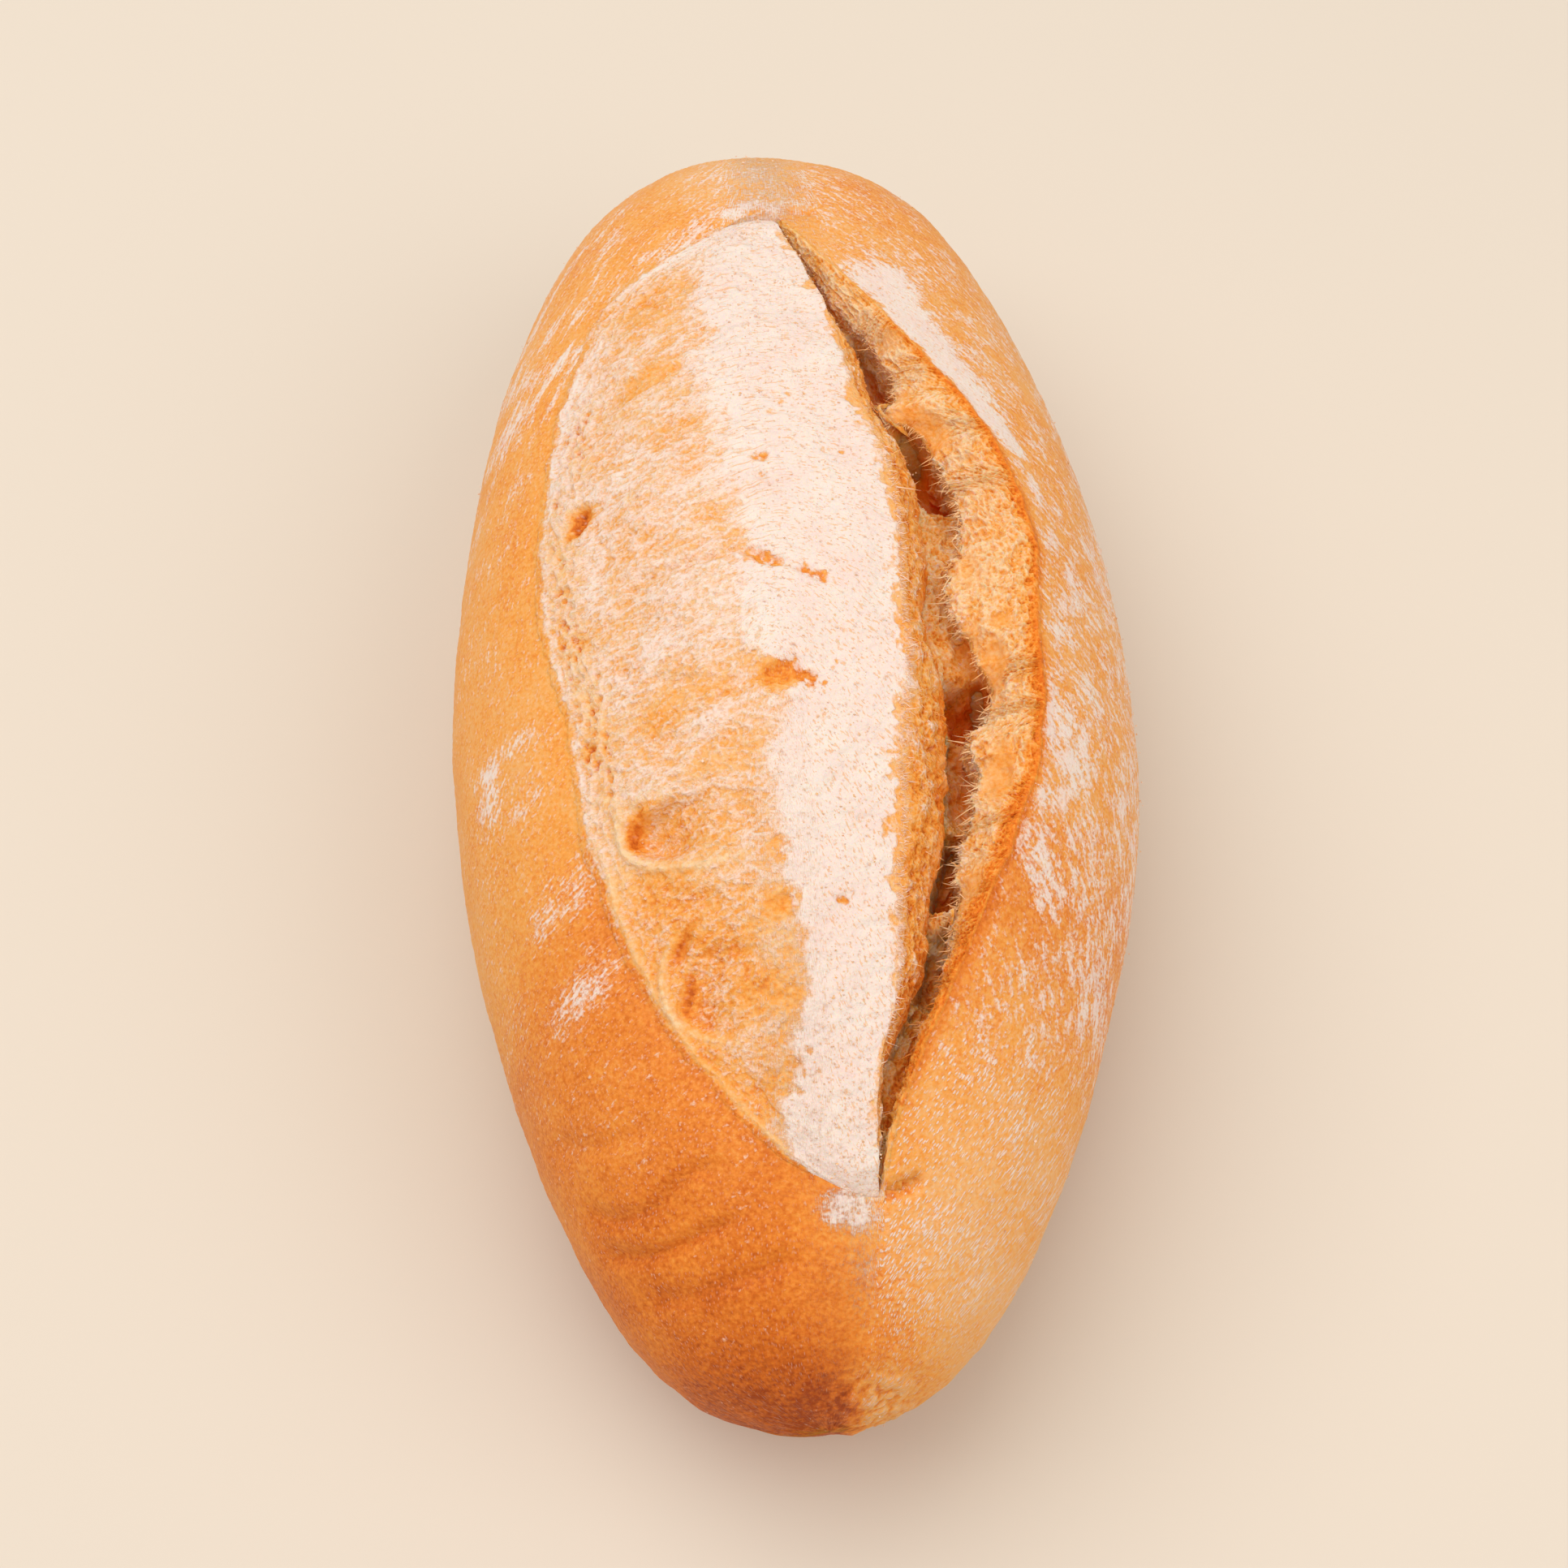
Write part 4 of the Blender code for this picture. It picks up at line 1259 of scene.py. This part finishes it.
print("sponge relief from %.2f to %.2f mm" % (sponge.min(), sponge.max()))

# %% [markdown]
# ### Colours of the crumb
# The sponge is painted browner wherever a bubble left a hollow, partly as its own colour
# and partly as painted shade, and redder towards the ear. The floor of the crack and the
# foot of its broken wall are painted darker as painted shade. Deep in the crack little
# light arrives and what does is red, so a number for that depth goes to the material as
# painted shade, and torn fragments with a little flour on them interrupt it.

# %% Crumb colours
MOST_CRUMB_BAKE = 0.68
CRUMB_GRAIN = 35.0          # degrees
DEEPEST = 12.0              # depth below the dome that counts as fully deep
depth = np.clip(-crumb_height - 1.0, 0, DEEPEST) / DEEPEST
fragments = smooth(0.02, 0.40, noise(crumb_points, 1.3, 113)) * (wall_share < 1) * smooth(0.80, 0.50, depth)
# Painted shade deep in the crack: the deeper a place lies, the nearer it is painted to red-brown, broken up
# by floury fragments.
crumb_shade_and_ear_red = smooth(0.38, 0.84, depth) * (1 - face_share) * (0.85 + 0.4 * noise(crumb_points, 1.8, 112))
crumb_shade_and_ear_red = np.clip(crumb_shade_and_ear_red * (1 - 0.75 * fragments), 0, 1)
red = ridge_red(ear_gap, crumb_y, crumb_points)
# Bubble hollows are painted darker, partly as the crumb's own colour and partly as painted shade.
crumb_baked_and_shaded = 0.06 + 0.34 * inside + 0.30 * calm + 0.10 * noise(crumb_points, 3.0, 111)
crumb_baked_and_shaded += 1.15 * red
# Redder towards the ear, which is its own colour; the floor and the foot of the broken wall are painted
# darker, as painted shade.
ear_bake_and_floor_shade = 0.12 * smooth(-4.0, 0.0, ear_gap) + 0.16 * smooth(0.9, 0.2, wall_share)
crumb_baked_and_shaded += ear_bake_and_floor_shade - 0.09 * smooth(18, 34, crumb_y)
crumb_baked_and_shaded -= 0.16 * fragments
edge_dust = 0.15 + 0.14 * smooth(0.75, 1.0, wall_share) * (1 - smooth(0.0, 0.25, face_share))
face_dust = 0.23 * (1 - inside) * smooth(-0.2, -2.5, ear_gap)
crumb_dusted = (edge_dust * smooth(0.0, -1.4, ear_gap) + face_dust) * (1 - calm)
crumb_dusted = crumb_dusted * (1 - crumb_shade_and_ear_red) * smooth(-0.2, 0.9, wall_share)
crumb_dusted = crumb_dusted + 0.28 * fragments * (1 - crumb_shade_and_ear_red)
hem = on_crust(-ear_gap, crumb_points)
crust_beneath = crust_bake_and_shade(crumb_x, crumb_y, crumb_points[..., 2], ear_gap, 99 + 0 * crumb_y)
crumb_baked_and_shaded = np.minimum(crumb_baked_and_shaded, MOST_CRUMB_BAKE) * (1 - hem) + crust_beneath * hem
crumb_dusted = crumb_dusted * (1 - hem) + crust_flour(crumb_x, crumb_y, crumb_points[..., 2]) * hem
# The ear's own red joins the painted shade in the same number.
crumb_shade_and_ear_red = np.maximum(crumb_shade_and_ear_red, 0.65 * red)
torn_crumb = closed_loft("torn_crumb", crumb_points, {
    "bake_and_shade": crumb_baked_and_shaded, "flour": np.clip(crumb_dusted, 0, 1), "shade_and_ear_red": crumb_shade_and_ear_red,
    "grain": grain_of(across, crumb_y, 0 * crumb_y, np.full(crumb_y.shape, CRUMB_GRAIN)),
    "sponge": (1 - calm) * smooth(0.3, -0.4, ear_gap)})

# %% [markdown]
# ## Fibres
# Stretched crumb breaks into short hairs, thickest along the torn edge, and a few strands
# still cross the crack. Each hair is a bent spike with three sides, so thousands stay
# light. Hair curves would look finer, but only a mesh is kept with the part.

# %% The shape of a hair
RINGS = np.array([0.0, 0.38, 0.74])     # where a hair's rings lie, as shares of its length


def unit(vectors):
    """The same directions with length 1."""
    return vectors / np.maximum(np.linalg.norm(vectors, axis=-1, keepdims=True), TINY)


def spikes(roots, pull, length, radius, rng):
    """Points and faces of many hairs: root + length·(pull·t + bend·t²), thinning to a tip."""
    count = len(roots)
    bend = 0.28 * rng.normal(size=(count, 3))
    side = unit(np.cross(pull, rng.normal(size=(count, 3))))
    other = np.cross(pull, side)
    t = np.append(RINGS, 1.0)[None, :, None]
    path = roots[:, None] + length[:, None, None] * (pull[:, None] * t + bend[:, None] * t ** 2)
    turn = np.arange(3) * 2 * math.pi / 3
    ring = side[:, None] * np.cos(turn)[:, None] + other[:, None] * np.sin(turn)[:, None]
    thick = radius[:, None, None, None] * (1 - 0.8 * RINGS)[None, :, None, None]
    rings = path[:, :-1, None] + ring[:, None] * thick
    points = np.concatenate([rings.reshape(count, -1, 3), path[:, -1:]], axis=1)
    each = points.shape[1]
    tip = each - 1
    quads = [(3 * r + k, 3 * r + (k + 1) % 3, 3 * r + 3 + (k + 1) % 3, 3 * r + 3 + k)
             for r in range(len(RINGS) - 1) for k in range(3)]
    threes = [(0, 2, 1)] + [(tip - 3 + k, tip - 3 + (k + 1) % 3, tip) for k in range(3)]
    first = (np.arange(count) * each)[:, None, None]
    faces = [(np.array(block)[None] + first).reshape(-1, len(block[0])) for block in (quads, threes)]
    return points.reshape(-1, 3), faces, each


def pick(rng, weight, count):
    """Numbers of count grid points, drawn at random with the given weights."""
    flat = np.clip(weight, 0, None).ravel()
    return rng.choice(flat.size, count, p=flat / flat.sum())


print("a hair has %d points" % (3 * len(RINGS) + 1))

# %% [markdown]
# ### Where the hairs grow
# The roots are points of the crumb and of the leaf, taken at random by weight: the torn
# edge, the broken wall, the face of the sponge, the roll-over of the leaf and the fringe
# of its rim. Each hair leans the way in which the dough was pulled there.

# %% Kinds of hair
rng = np.random.default_rng(7)
crumb_normals = normals_of(crumb_points)
leaf_normals = normals_of(leaf_points)
leaf_open = smooth(0.05, 0.4, opened[:, None])
band = shown * smooth(0.05, 0.3, crumb_open[:, None]) * (0.12 + 0.88 * smooth(-50, -40, crumb_y))
torn_edge = band * smooth(0.55, 0.95, wall_share) * smooth(0.10, 0.0, face_share) * smooth(38, 24, crumb_y)
wall = band * smooth(0.05, 0.3, wall_share) * (face_share <= 0)
face = band * (face_share > 0) * smooth(1.2, -0.8, ear_gap) * (1 - calm)
rollover = smooth(0.04, 0.2, past_rim) * leaf_open * (past_rim < 0.9)
fringe = (past_rim > 0) * smooth(0.16, 0.04, past_rim) * smooth(24, 4, leaf_y)
fringe = fringe * smooth(-52, -38, leaf_y) * leaf_open
# Hairs in the crack take half of its painted shade and ear red; hairs on the leaf take none.
IN_CRUMB = (crumb_points, crumb_normals, 0.5 * crumb_shade_and_ear_red)
IN_LEAF = (leaf_points, leaf_normals, 0 * leaf_y)
# Weights, the grown surface, bake, flour, count, pull (X, Y, Z), share of the normal, spread,
# length, radius
KINDS = (
    (torn_edge, IN_CRUMB, crumb_baked_and_shaded - 0.12, 0.16, 950, (-0.8, -0.45, 0.1), 0.6, 0.34, 0.76, 0.075),
    # Hairs on the broken wall are painted darker, as painted shade in the crack.
    (wall, IN_CRUMB, crumb_baked_and_shaded + 0.15, 0.0, 500, (-0.5, -0.1, 0.5), 0.7, 0.50, 0.50, 0.060),
    (face, IN_CRUMB, crumb_baked_and_shaded - 0.02, 0.15, 500, (-0.2, -0.1, 0.1), 1.0, 0.65, 0.18, 0.035),
    (rollover, IN_LEAF, leaf_baked_and_shaded - 0.20, 0.24, 1500, (0.3, -0.3, -0.6), 0.9, 0.45, 0.32, 0.050),
    (fringe, IN_LEAF, leaf_baked_and_shaded - 0.18, 0.60, 1200, (0.8, -0.35, 0.0), 0.5, 0.30, 0.45, 0.060),
)
ROOT_DEPTH = 0.12           # how far a hair starts below its surface
print("%d hairs of %d kinds" % (sum(kind[4] for kind in KINDS), len(KINDS)))

# %% [markdown]
# ### Growing them
# The hairs of each kind are made in one go, with lengths from a gamma spread: many short
# ones and a few long. They take the bake and the painted shade of the place where they grow.

# %% Fibres
hair_points, quads, triangles = [], [], []
looks = {"bake_and_shade": [], "flour": [], "shade_and_ear_red": []}
total = 0
for weight, place, tone, dusting, count, pull, outwards, spread, length, radius in KINDS:
    surface, normals, root_shade_and_ear_red = place
    chosen = pick(rng, weight, count)
    normal = normals.reshape(-1, 3)[chosen]
    roots = surface.reshape(-1, 3)[chosen] - ROOT_DEPTH * normal
    lean = unit(np.array(pull) + outwards * normal + spread * rng.normal(size=(count, 3)))
    long = length * rng.gamma(3.0, 1 / 3, count)
    made, faces, each = spikes(roots, lean, long, radius * rng.uniform(0.7, 1.5, count), rng)
    hair_points.append(made)
    quads.append(faces[0] + total)
    triangles.append(faces[1] + total)
    looks["bake_and_shade"].append(np.repeat(tone.ravel()[chosen], each))
    looks["flour"].append(np.full(len(made), dusting))
    looks["shade_and_ear_red"].append(np.repeat(root_shade_and_ear_red.ravel()[chosen], each))
    total += len(made)
hair_points = np.concatenate(hair_points)
looks = {label: np.concatenate(values) for label, values in looks.items()}
fibres = store_mesh("fibres", hair_points, [np.concatenate(quads), np.concatenate(triangles)],
                    {**looks, "grain": hair_points})

# %% [markdown]
# ## Loose flour
# Where the flour lies thick it is a coat of grains, and a few lie loose on top. Each
# grain is a small eight-sided lump, sunk a little into the surface.

# %% Flour grains
LUMP = np.array([(1, 0, 0), (0, 1, 0), (-1, 0, 0), (0, -1, 0), (0, 0, 1), (0, 0, -1)], float)
LUMP_FACES = np.array([(k, (k + 1) % 4, 4) for k in range(4)] + [((k + 1) % 4, k, 5) for k in range(4)])
ON_LEAF, ON_CRUST = 3400, 1600          # how many grains
CLEAR_OF_FLOOR = 3.0                    # no grain lies lower than this
GRAIN_BAKE, GRAIN_FLOUR = 0.15, 0.6


def grains(surface, normals, weight, count, rng):
    """Small lumps on a surface, drawn at random with the given weights."""
    chosen = pick(rng, weight, count)
    centres = surface.reshape(-1, 3)[chosen] + 0.2 * rng.normal(size=(count, 3)) * (1, 1, 0)
    centres += 0.02 * normals.reshape(-1, 3)[chosen]
    size = 0.07 + 0.09 * rng.random((count, 1, 1)) ** 2
    return centres[:, None] + LUMP[None] * size * rng.uniform(0.6, 1.3, (count, 1, 3))


leaf_weight = on_top * leaf_dusted ** 2 * smooth(0.05, 0.3, opened[:, None])
crust_weight = np.where(outer & (z > CLEAR_OF_FLOOR), smooth(0.3, 0.6, flour), 0)
grain_points = np.concatenate([
    grains(leaf_points, leaf_normals, leaf_weight, ON_LEAF, rng),
    grains(crust_points, normals_of(crust_points), crust_weight, ON_CRUST, rng)])
number = (np.arange(len(grain_points)) * len(LUMP))[:, None, None]
flat_points = grain_points.reshape(-1, 3)
grain_faces = (LUMP_FACES[None] + number).reshape(-1, 3)
flour_grains = store_mesh("flour_grains", flat_points, [grain_faces], {
    "bake_and_shade": np.full(len(flat_points), GRAIN_BAKE), "flour": np.full(len(flat_points), GRAIN_FLOUR),
    "grain": flat_points})

# %% [markdown]
# ## Materials
# Bread has one recipe with many settings: a ramp of bake colours, dust over it, and a
# fine grain. I build that recipe once, as a function, and call it for each layer. The
# nodes read the points' own attributes and Object coordinates, so nothing slides when
# the roll moves.

# %% Node helpers
def add(tree, kind, inputs, **settings):
    """A new node. Inputs are numbers, colours or other nodes' sockets, by name or number."""
    made = tree.nodes.new(kind)
    for name, value in settings.items():
        setattr(made, name, value)
    for key, value in inputs.items():
        if isinstance(value, bpy.types.NodeSocket):
            tree.links.new(value, made.inputs[key])
        else:
            made.inputs[key].default_value = value
    return made


def calc(tree, operation, a, b=0.0, c=0.0, clamp=False):
    """One step of arithmetic on the value of a socket."""
    return add(tree, "ShaderNodeMath", {0: a, 1: b, 2: c}, operation=operation, use_clamp=clamp).outputs[0]


def nudge(tree, base, layer, amount):
    """base + (layer - 1/2) · amount: a layer from 0 to 1 moves a value both ways."""
    return calc(tree, "MULTIPLY_ADD", calc(tree, "SUBTRACT", layer, 0.5), amount, base)


def read(tree, label, output="Fac"):
    """A number, or with output Vector a vector, that the points carry."""
    return add(tree, "ShaderNodeAttribute", {}, attribute_name=label).outputs[output]


def blend(tree, share, a, b):
    """A colour between a and b."""
    return add(tree, "ShaderNodeMix", {0: share, 6: a, 7: b}, data_type="RGBA").outputs[2]


def ramp(tree, value, stops):
    """A colour ramp through the given stops."""
    made = add(tree, "ShaderNodeValToRGB", {0: value})
    elements = made.color_ramp.elements
    elements[0].color, elements[1].color = stops[0][1], stops[-1][1]
    for place, colour in stops[1:-1]:
        elements.new(place).color = colour
    return made.outputs[0]


# %% [markdown]
# ### Textures of a dusted loaf
# Three textures do the work. Speckle is noise with its contrast raised, for flecks and
# dust. Threads are the places where a noise crosses its middle value. Pits are the round
# holes of a Voronoi pattern. Each has its size in millimetres, so it can be compared with
# real bread.

# %% Texture helpers
def drawn_noise(tree, vector, size, stretch, detail, distortion=0.0):
    """Noise with bumps of a size in millimetres, drawn out by the given shares."""
    scaled = add(tree, "ShaderNodeMapping", {"Vector": vector, "Scale": [1 / s for s in stretch]})
    made = add(tree, "ShaderNodeTexNoise", {
        "Vector": scaled.outputs[0], "Scale": 1 / size, "Detail": detail, "Distortion": distortion})
    return made.outputs[0]


def speckle(tree, vector, size, detail=3.0, stretch=(1, 1, 1), spread=2.4):
    """Noise from 0 to 1, its contrast raised by a factor."""
    made = drawn_noise(tree, vector, size, stretch, detail)
    return calc(tree, "MULTIPLY_ADD", made, spread, 0.5 - spread / 2, clamp=True)


def threads(tree, vector, size, stretch, thin):
    """Fine winding threads: 1 where a noise crosses its middle, falling to 0 on both sides."""
    made = drawn_noise(tree, vector, size, stretch, 3.0, 0.7)
    away = calc(tree, "ABSOLUTE", calc(tree, "SUBTRACT", made, 0.5))
    return calc(tree, "MULTIPLY_ADD", away, -thin, 1.0, clamp=True)


def pits(tree, vector, size, deep):
    """Round holes about a size across, from 1 in the middle of each to 0 on the walls between them."""
    made = add(tree, "ShaderNodeTexVoronoi", {"Vector": vector, "Scale": 1 / size}, voronoi_dimensions="2D")
    return calc(tree, "MULTIPLY_ADD", made.outputs["Distance"], -2.6 * deep, deep, clamp=True)


# %% [markdown]
# ### The bread recipe
# The bake goes through a ramp of colours from pale dough to nearly burnt. Flour lies over
# it wherever the flecks rise above what the map of flour asks for, and small nicks in the
# coat let warm crust show, painted with the colour of shade inside them. Pits on open
# crumb are painted darker, partly as their own colour and partly as painted shade. Last,
# deep places get a painted red-brown shade, and the ear its own red. The settings say how
# mottled, fine and bumpy one layer of bread is.

# %% Bread recipe
BAKE_RAMP = (
    (0.00, (0.81, 0.58, 0.34, 1.0)), (0.25, (0.81, 0.44, 0.165, 1.0)), (0.45, (0.81, 0.345, 0.062, 1.0)),
    (0.62, (0.75, 0.235, 0.026, 1.0)), (0.80, (0.60, 0.140, 0.010, 1.0)), (1.00, (0.34, 0.055, 0.004, 1.0)),
)
THIN_FLOUR = (0.86, 0.62, 0.50, 1.0)
THICK_FLOUR = (0.80, 0.73, 0.68, 1.0)
PINK_FLOUR = (0.79, 0.665, 0.625, 1.0)
# Painted shade inside a nick, partly the warm crust beneath and partly painted shade
NICK_SHADE_COLOUR = (0.74, 0.41, 0.19, 1.0)
# Red-brown of the painted shade deep in the crack, also used for the ear's own red
SHADE_AND_EAR_RED_COLOUR = (0.84, 0.18, 0.010, 1.0)
VEIL = 0.80                 # strength of the even film in thick flour
GLOW_RADIUS = (1.0, 0.45, 0.20)         # red light travels furthest in bread
GLOW_DEPTH = 1.2            # millimetres


def flour_cover(tree, grain, flour, layers, mix, edge, dots):
    """Share of the surface under flour, 0 to 1, and the nicks in it."""
    flecks, dust, grit, wisps, cloud = layers
    patch = 0.0
    for layer, share in zip((flecks, dust, grit, wisps), mix):
        patch = calc(tree, "MULTIPLY_ADD", layer, share, patch)
    over = calc(tree, "ADD", patch, calc(tree, "SUBTRACT", flour, 1.0))
    dusted = calc(tree, "MULTIPLY_ADD", over, edge, 0.5, clamp=True)
    veil = calc(tree, "MULTIPLY", dust, calc(tree, "MULTIPLY", calc(tree, "POWER", flour, 2.0), VEIL))
    dusted = calc(tree, "MAXIMUM", dusted, veil, clamp=True)
    nick = speckle(tree, grain, 0.20, 2.0, (3.4, 1, 1), spread=3.4)
    nick = calc(tree, "MULTIPLY", calc(tree, "SUBTRACT", nick, 0.80, clamp=True), 3.0)
    nick = calc(tree, "MINIMUM", nick, 0.60)
    dusted = calc(tree, "SUBTRACT", dusted, calc(tree, "MULTIPLY", nick, 0.25), clamp=True)
    dotted = calc(tree, "MULTIPLY_ADD", pits(tree, grain, 0.80, 1.0), 1.6, -0.6, clamp=True)
    dotted = calc(tree, "MULTIPLY", dotted, grit)
    dotted = calc(tree, "MULTIPLY", dotted, calc(tree, "MULTIPLY", cloud, 3.4 * dots))
    return calc(tree, "MAXIMUM", dusted, dotted, clamp=True), nick


def bread(name, mottle=0.12, fine=0.16, bump=0.12, edge=2.6, grain_size=0.7, stretch=3.0,
          dots=0.30, salted=0.12, glow=0.25, whiter=-0.95, mix=(0.26, 0.22, 0.22, 0.30)):
    """A bread finish: bake colours with painted shade, flecks of flour along the grain, nicks in it painted
    with shade, and a fine bump.
    """
    material = bpy.data.materials.new(name)
    material.use_nodes = True
    tree = material.node_tree
    shader = tree.nodes["Principled BSDF"]
    place = add(tree, "ShaderNodeTexCoord", {}).outputs["Object"]
    place = add(tree, "ShaderNodeVectorMath", {0: place, "Scale": 1 / MM}, operation="SCALE").outputs[0]
    grain, flour = read(tree, "grain", "Vector"), read(tree, "flour")
    sponge, shade_and_ear_red = read(tree, "sponge"), read(tree, "shade_and_ear_red")
    cloud = speckle(tree, place, 4.5, 3.0)
    grit = speckle(tree, place, 0.60, 4.0)
    dust = speckle(tree, place, 0.36, 2.5, spread=3.2)
    flecks = speckle(tree, grain, grain_size, 4.0, (stretch, 1, 1))
    to_round = calc(tree, "SUBTRACT", pits(tree, grain, 0.60, 1.9), flecks)
    flecks = calc(tree, "MULTIPLY_ADD", to_round, read(tree, "even"), flecks)
    wisps = threads(tree, grain, 1.3, (1.6, 1, 1), 9.0)
    holes = calc(tree, "MAXIMUM", pits(tree, grain, 0.62, 1.25), pits(tree, grain, 0.36, 0.95))
    holes = calc(tree, "MULTIPLY", holes, sponge)
    bake_and_shade = read(tree, "bake_and_shade")
    for layer, amount in ((cloud, mottle), (grit, fine), (dust, -salted)):
        bake_and_shade = nudge(tree, bake_and_shade, layer, amount)
    # Pits on open crumb are painted darker, partly as their own colour and partly as painted shade.
    bake_and_shade = calc(tree, "MULTIPLY_ADD", holes, 0.26, bake_and_shade)
    bake_and_shade = calc(tree, "MULTIPLY_ADD", sponge, -0.10, bake_and_shade)
    colour = ramp(tree, bake_and_shade, BAKE_RAMP)
    dusted, nick = flour_cover(tree, grain, flour, (flecks, dust, grit, wisps, cloud), mix, edge, dots)
    clear = calc(tree, "MULTIPLY_ADD", holes, -0.9, 1.0)
    clear = calc(tree, "MULTIPLY", calc(tree, "SUBTRACT", 1.0, shade_and_ear_red), clear)
    dusted = calc(tree, "MULTIPLY", dusted, clear)
    thick = calc(tree, "MULTIPLY_ADD", flour, 2.2, whiter, clamp=True)
    tone = blend(tree, thick, THIN_FLOUR, blend(tree, cloud, THICK_FLOUR, PINK_FLOUR))
    # Nicks take a painted shade colour.
    tone = blend(tree, nick, tone, NICK_SHADE_COLOUR)
    colour = blend(tree, calc(tree, "MULTIPLY", dusted, 0.94), colour, tone)
    # Painted shade in deep places, and the ear's own red
    colour = blend(tree, shade_and_ear_red, colour, SHADE_AND_EAR_RED_COLOUR)
    dull = calc(tree, "MAXIMUM", shade_and_ear_red, calc(tree, "MULTIPLY", sponge, 0.7))
    height = calc(tree, "MULTIPLY_ADD", grit, 0.6, calc(tree, "MULTIPLY", dust, 0.3))
    height = calc(tree, "MULTIPLY_ADD", dusted, 0.5, height)
    height = calc(tree, "MULTIPLY_ADD", holes, -0.5, height)
    lit = add(tree, "ShaderNodeBump", {"Height": height, "Strength": 1.0, "Distance": bump * MM})
    linked = {
        "Base Color": colour, "Roughness": calc(tree, "MULTIPLY_ADD", dusted, 0.30, 0.52),
        "Specular IOR Level": calc(tree, "MULTIPLY_ADD", dull, -0.16, 0.16), "Normal": lit.outputs[0]}
    for socket, source in linked.items():
        tree.links.new(source, shader.inputs[socket])
    shader.inputs["Subsurface Weight"].default_value = glow
    shader.inputs["Subsurface Radius"].default_value = GLOW_RADIUS
    shader.inputs["Subsurface Scale"].default_value = GLOW_DEPTH * MM
    return material


crust_look = bread("baked_crust", mottle=0.10, fine=0.20, bump=0.09, edge=3.6,
                   dots=0.26, whiter=-0.45, mix=(0.52, 0.26, 0.22, 0.0))
bloom_look = bread("bloom_skin", mottle=0.14, fine=0.26, bump=0.13, grain_size=0.45, stretch=1.8,
                   edge=2.2, salted=0.16, mix=(0.26, 0.30, 0.26, 0.18))
crumb_look = bread("open_crumb", fine=0.24, bump=0.10, salted=0.16, glow=0.5, dots=0.12,
                   grain_size=0.5, stretch=1.4, mix=(0.34, 0.33, 0.33, 0.0))
hair_look = bread("fibre", mottle=0.08, fine=0.10, bump=0.02, glow=0.0, dots=0.0)
print("materials:", [look.name for look in (crust_look, bloom_look, crumb_look, hair_look)])

# %% [markdown]
# ## Belonging to the roll
# Every piece rides on the roll's one body, gets its own material, and hides the plain
# solid that it dresses.

# %% Finish the pieces
def finish(piece, material):
    """Give a piece its material, and say what it is part of."""
    piece.data.materials.append(material)
    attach(piece, "root")
    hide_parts(NODE)


finish(crust, crust_look)
finish(bloom, bloom_look)
finish(torn_crumb, crumb_look)
finish(fibres, hair_look)
finish(flour_grains, hair_look)

# %% [markdown]
# ## Floor and light
# A plain pale floor and soft studio light show bread best. One large lamp stands high on
# the left and behind, a weaker one fills in from the right, and pale surroundings lift the
# shadows.

# %% Stage
FLOOR_SIDE = 3.0            # metres, as all sizes on the stage
FLOOR_COLOUR = (0.70, 0.64, 0.56, 1.0)
AROUND_COLOUR, AROUND_STRENGTH = (1.0, 0.91, 0.82, 1.0), 0.62
# Name, place, side, watts and colour of each lamp
LAMPS = (
    ("key", (-0.26, 0.10, 0.76), 0.80, 4.3, (1.0, 0.97, 0.93)),
    ("fill", (0.44, -0.26, 0.55), 0.60, 1.6, (1.0, 0.94, 0.88)),
)
LIT_PLACE = Vector((0, 0, 0.02))        # the lamps point at the roll's middle

half = FLOOR_SIDE / 2
floor_mesh = bpy.data.meshes.new("floor")
floor_corners = [(-half, -half, 0), (half, -half, 0), (half, half, 0), (-half, half, 0)]
floor_mesh.from_pydata(floor_corners, [], [(0, 1, 2, 3)])
pale = bpy.data.materials.new("pale_floor")
pale.use_nodes = True
pale.node_tree.nodes["Principled BSDF"].inputs["Base Color"].default_value = FLOOR_COLOUR
pale.node_tree.nodes["Principled BSDF"].inputs["Roughness"].default_value = 0.8
floor_mesh.materials.append(pale)
floor = in_scene("floor", floor_mesh)
for name, place, side, watts, colour in LAMPS:
    light = bpy.data.lights.new(name, "AREA")
    light.size, light.energy, light.color = side, watts, colour
    lamp = in_scene(name, light)
    lamp.location = place
    lamp.rotation_euler = (LIT_PLACE - Vector(place)).to_track_quat("-Z", "Y").to_euler()
world = bpy.data.worlds.new("studio")
world.use_nodes = True
around = world.node_tree.nodes["Background"]
around.inputs["Color"].default_value = AROUND_COLOUR
around.inputs["Strength"].default_value = AROUND_STRENGTH
bpy.context.scene.world = world
bpy.context.scene.view_settings.view_transform = "Standard"
print("%d lamps, floor %.0f m wide" % (len(LAMPS), FLOOR_SIDE))

# %% [markdown]
# ## Camera
# The camera looks down at sixty degrees from the near end, from close by, so that the far
# end looks a little smaller. It stands on a line from the place at which it aims.

# %% Camera
PITCH = math.radians(60)
SWING = -0.0555             # radians to the left of the roll's own line
DISTANCE = 0.2894625        # metres
AIM = Vector((-0.001285, -0.0053418, 0.022))
back = Vector((math.sin(SWING) * math.cos(PITCH), -math.cos(SWING) * math.cos(PITCH), math.sin(PITCH)))
camera = in_scene("camera", bpy.data.cameras.new("camera"))
camera.location = AIM + back * DISTANCE
camera.rotation_euler = back.to_track_quat("Z", "Y").to_euler()
camera.data.lens = 60
camera.data.sensor_width = 36
camera.data.clip_start = 0.01
bpy.context.scene.camera = camera
print("camera at", [round(v, 3) for v in camera.location])
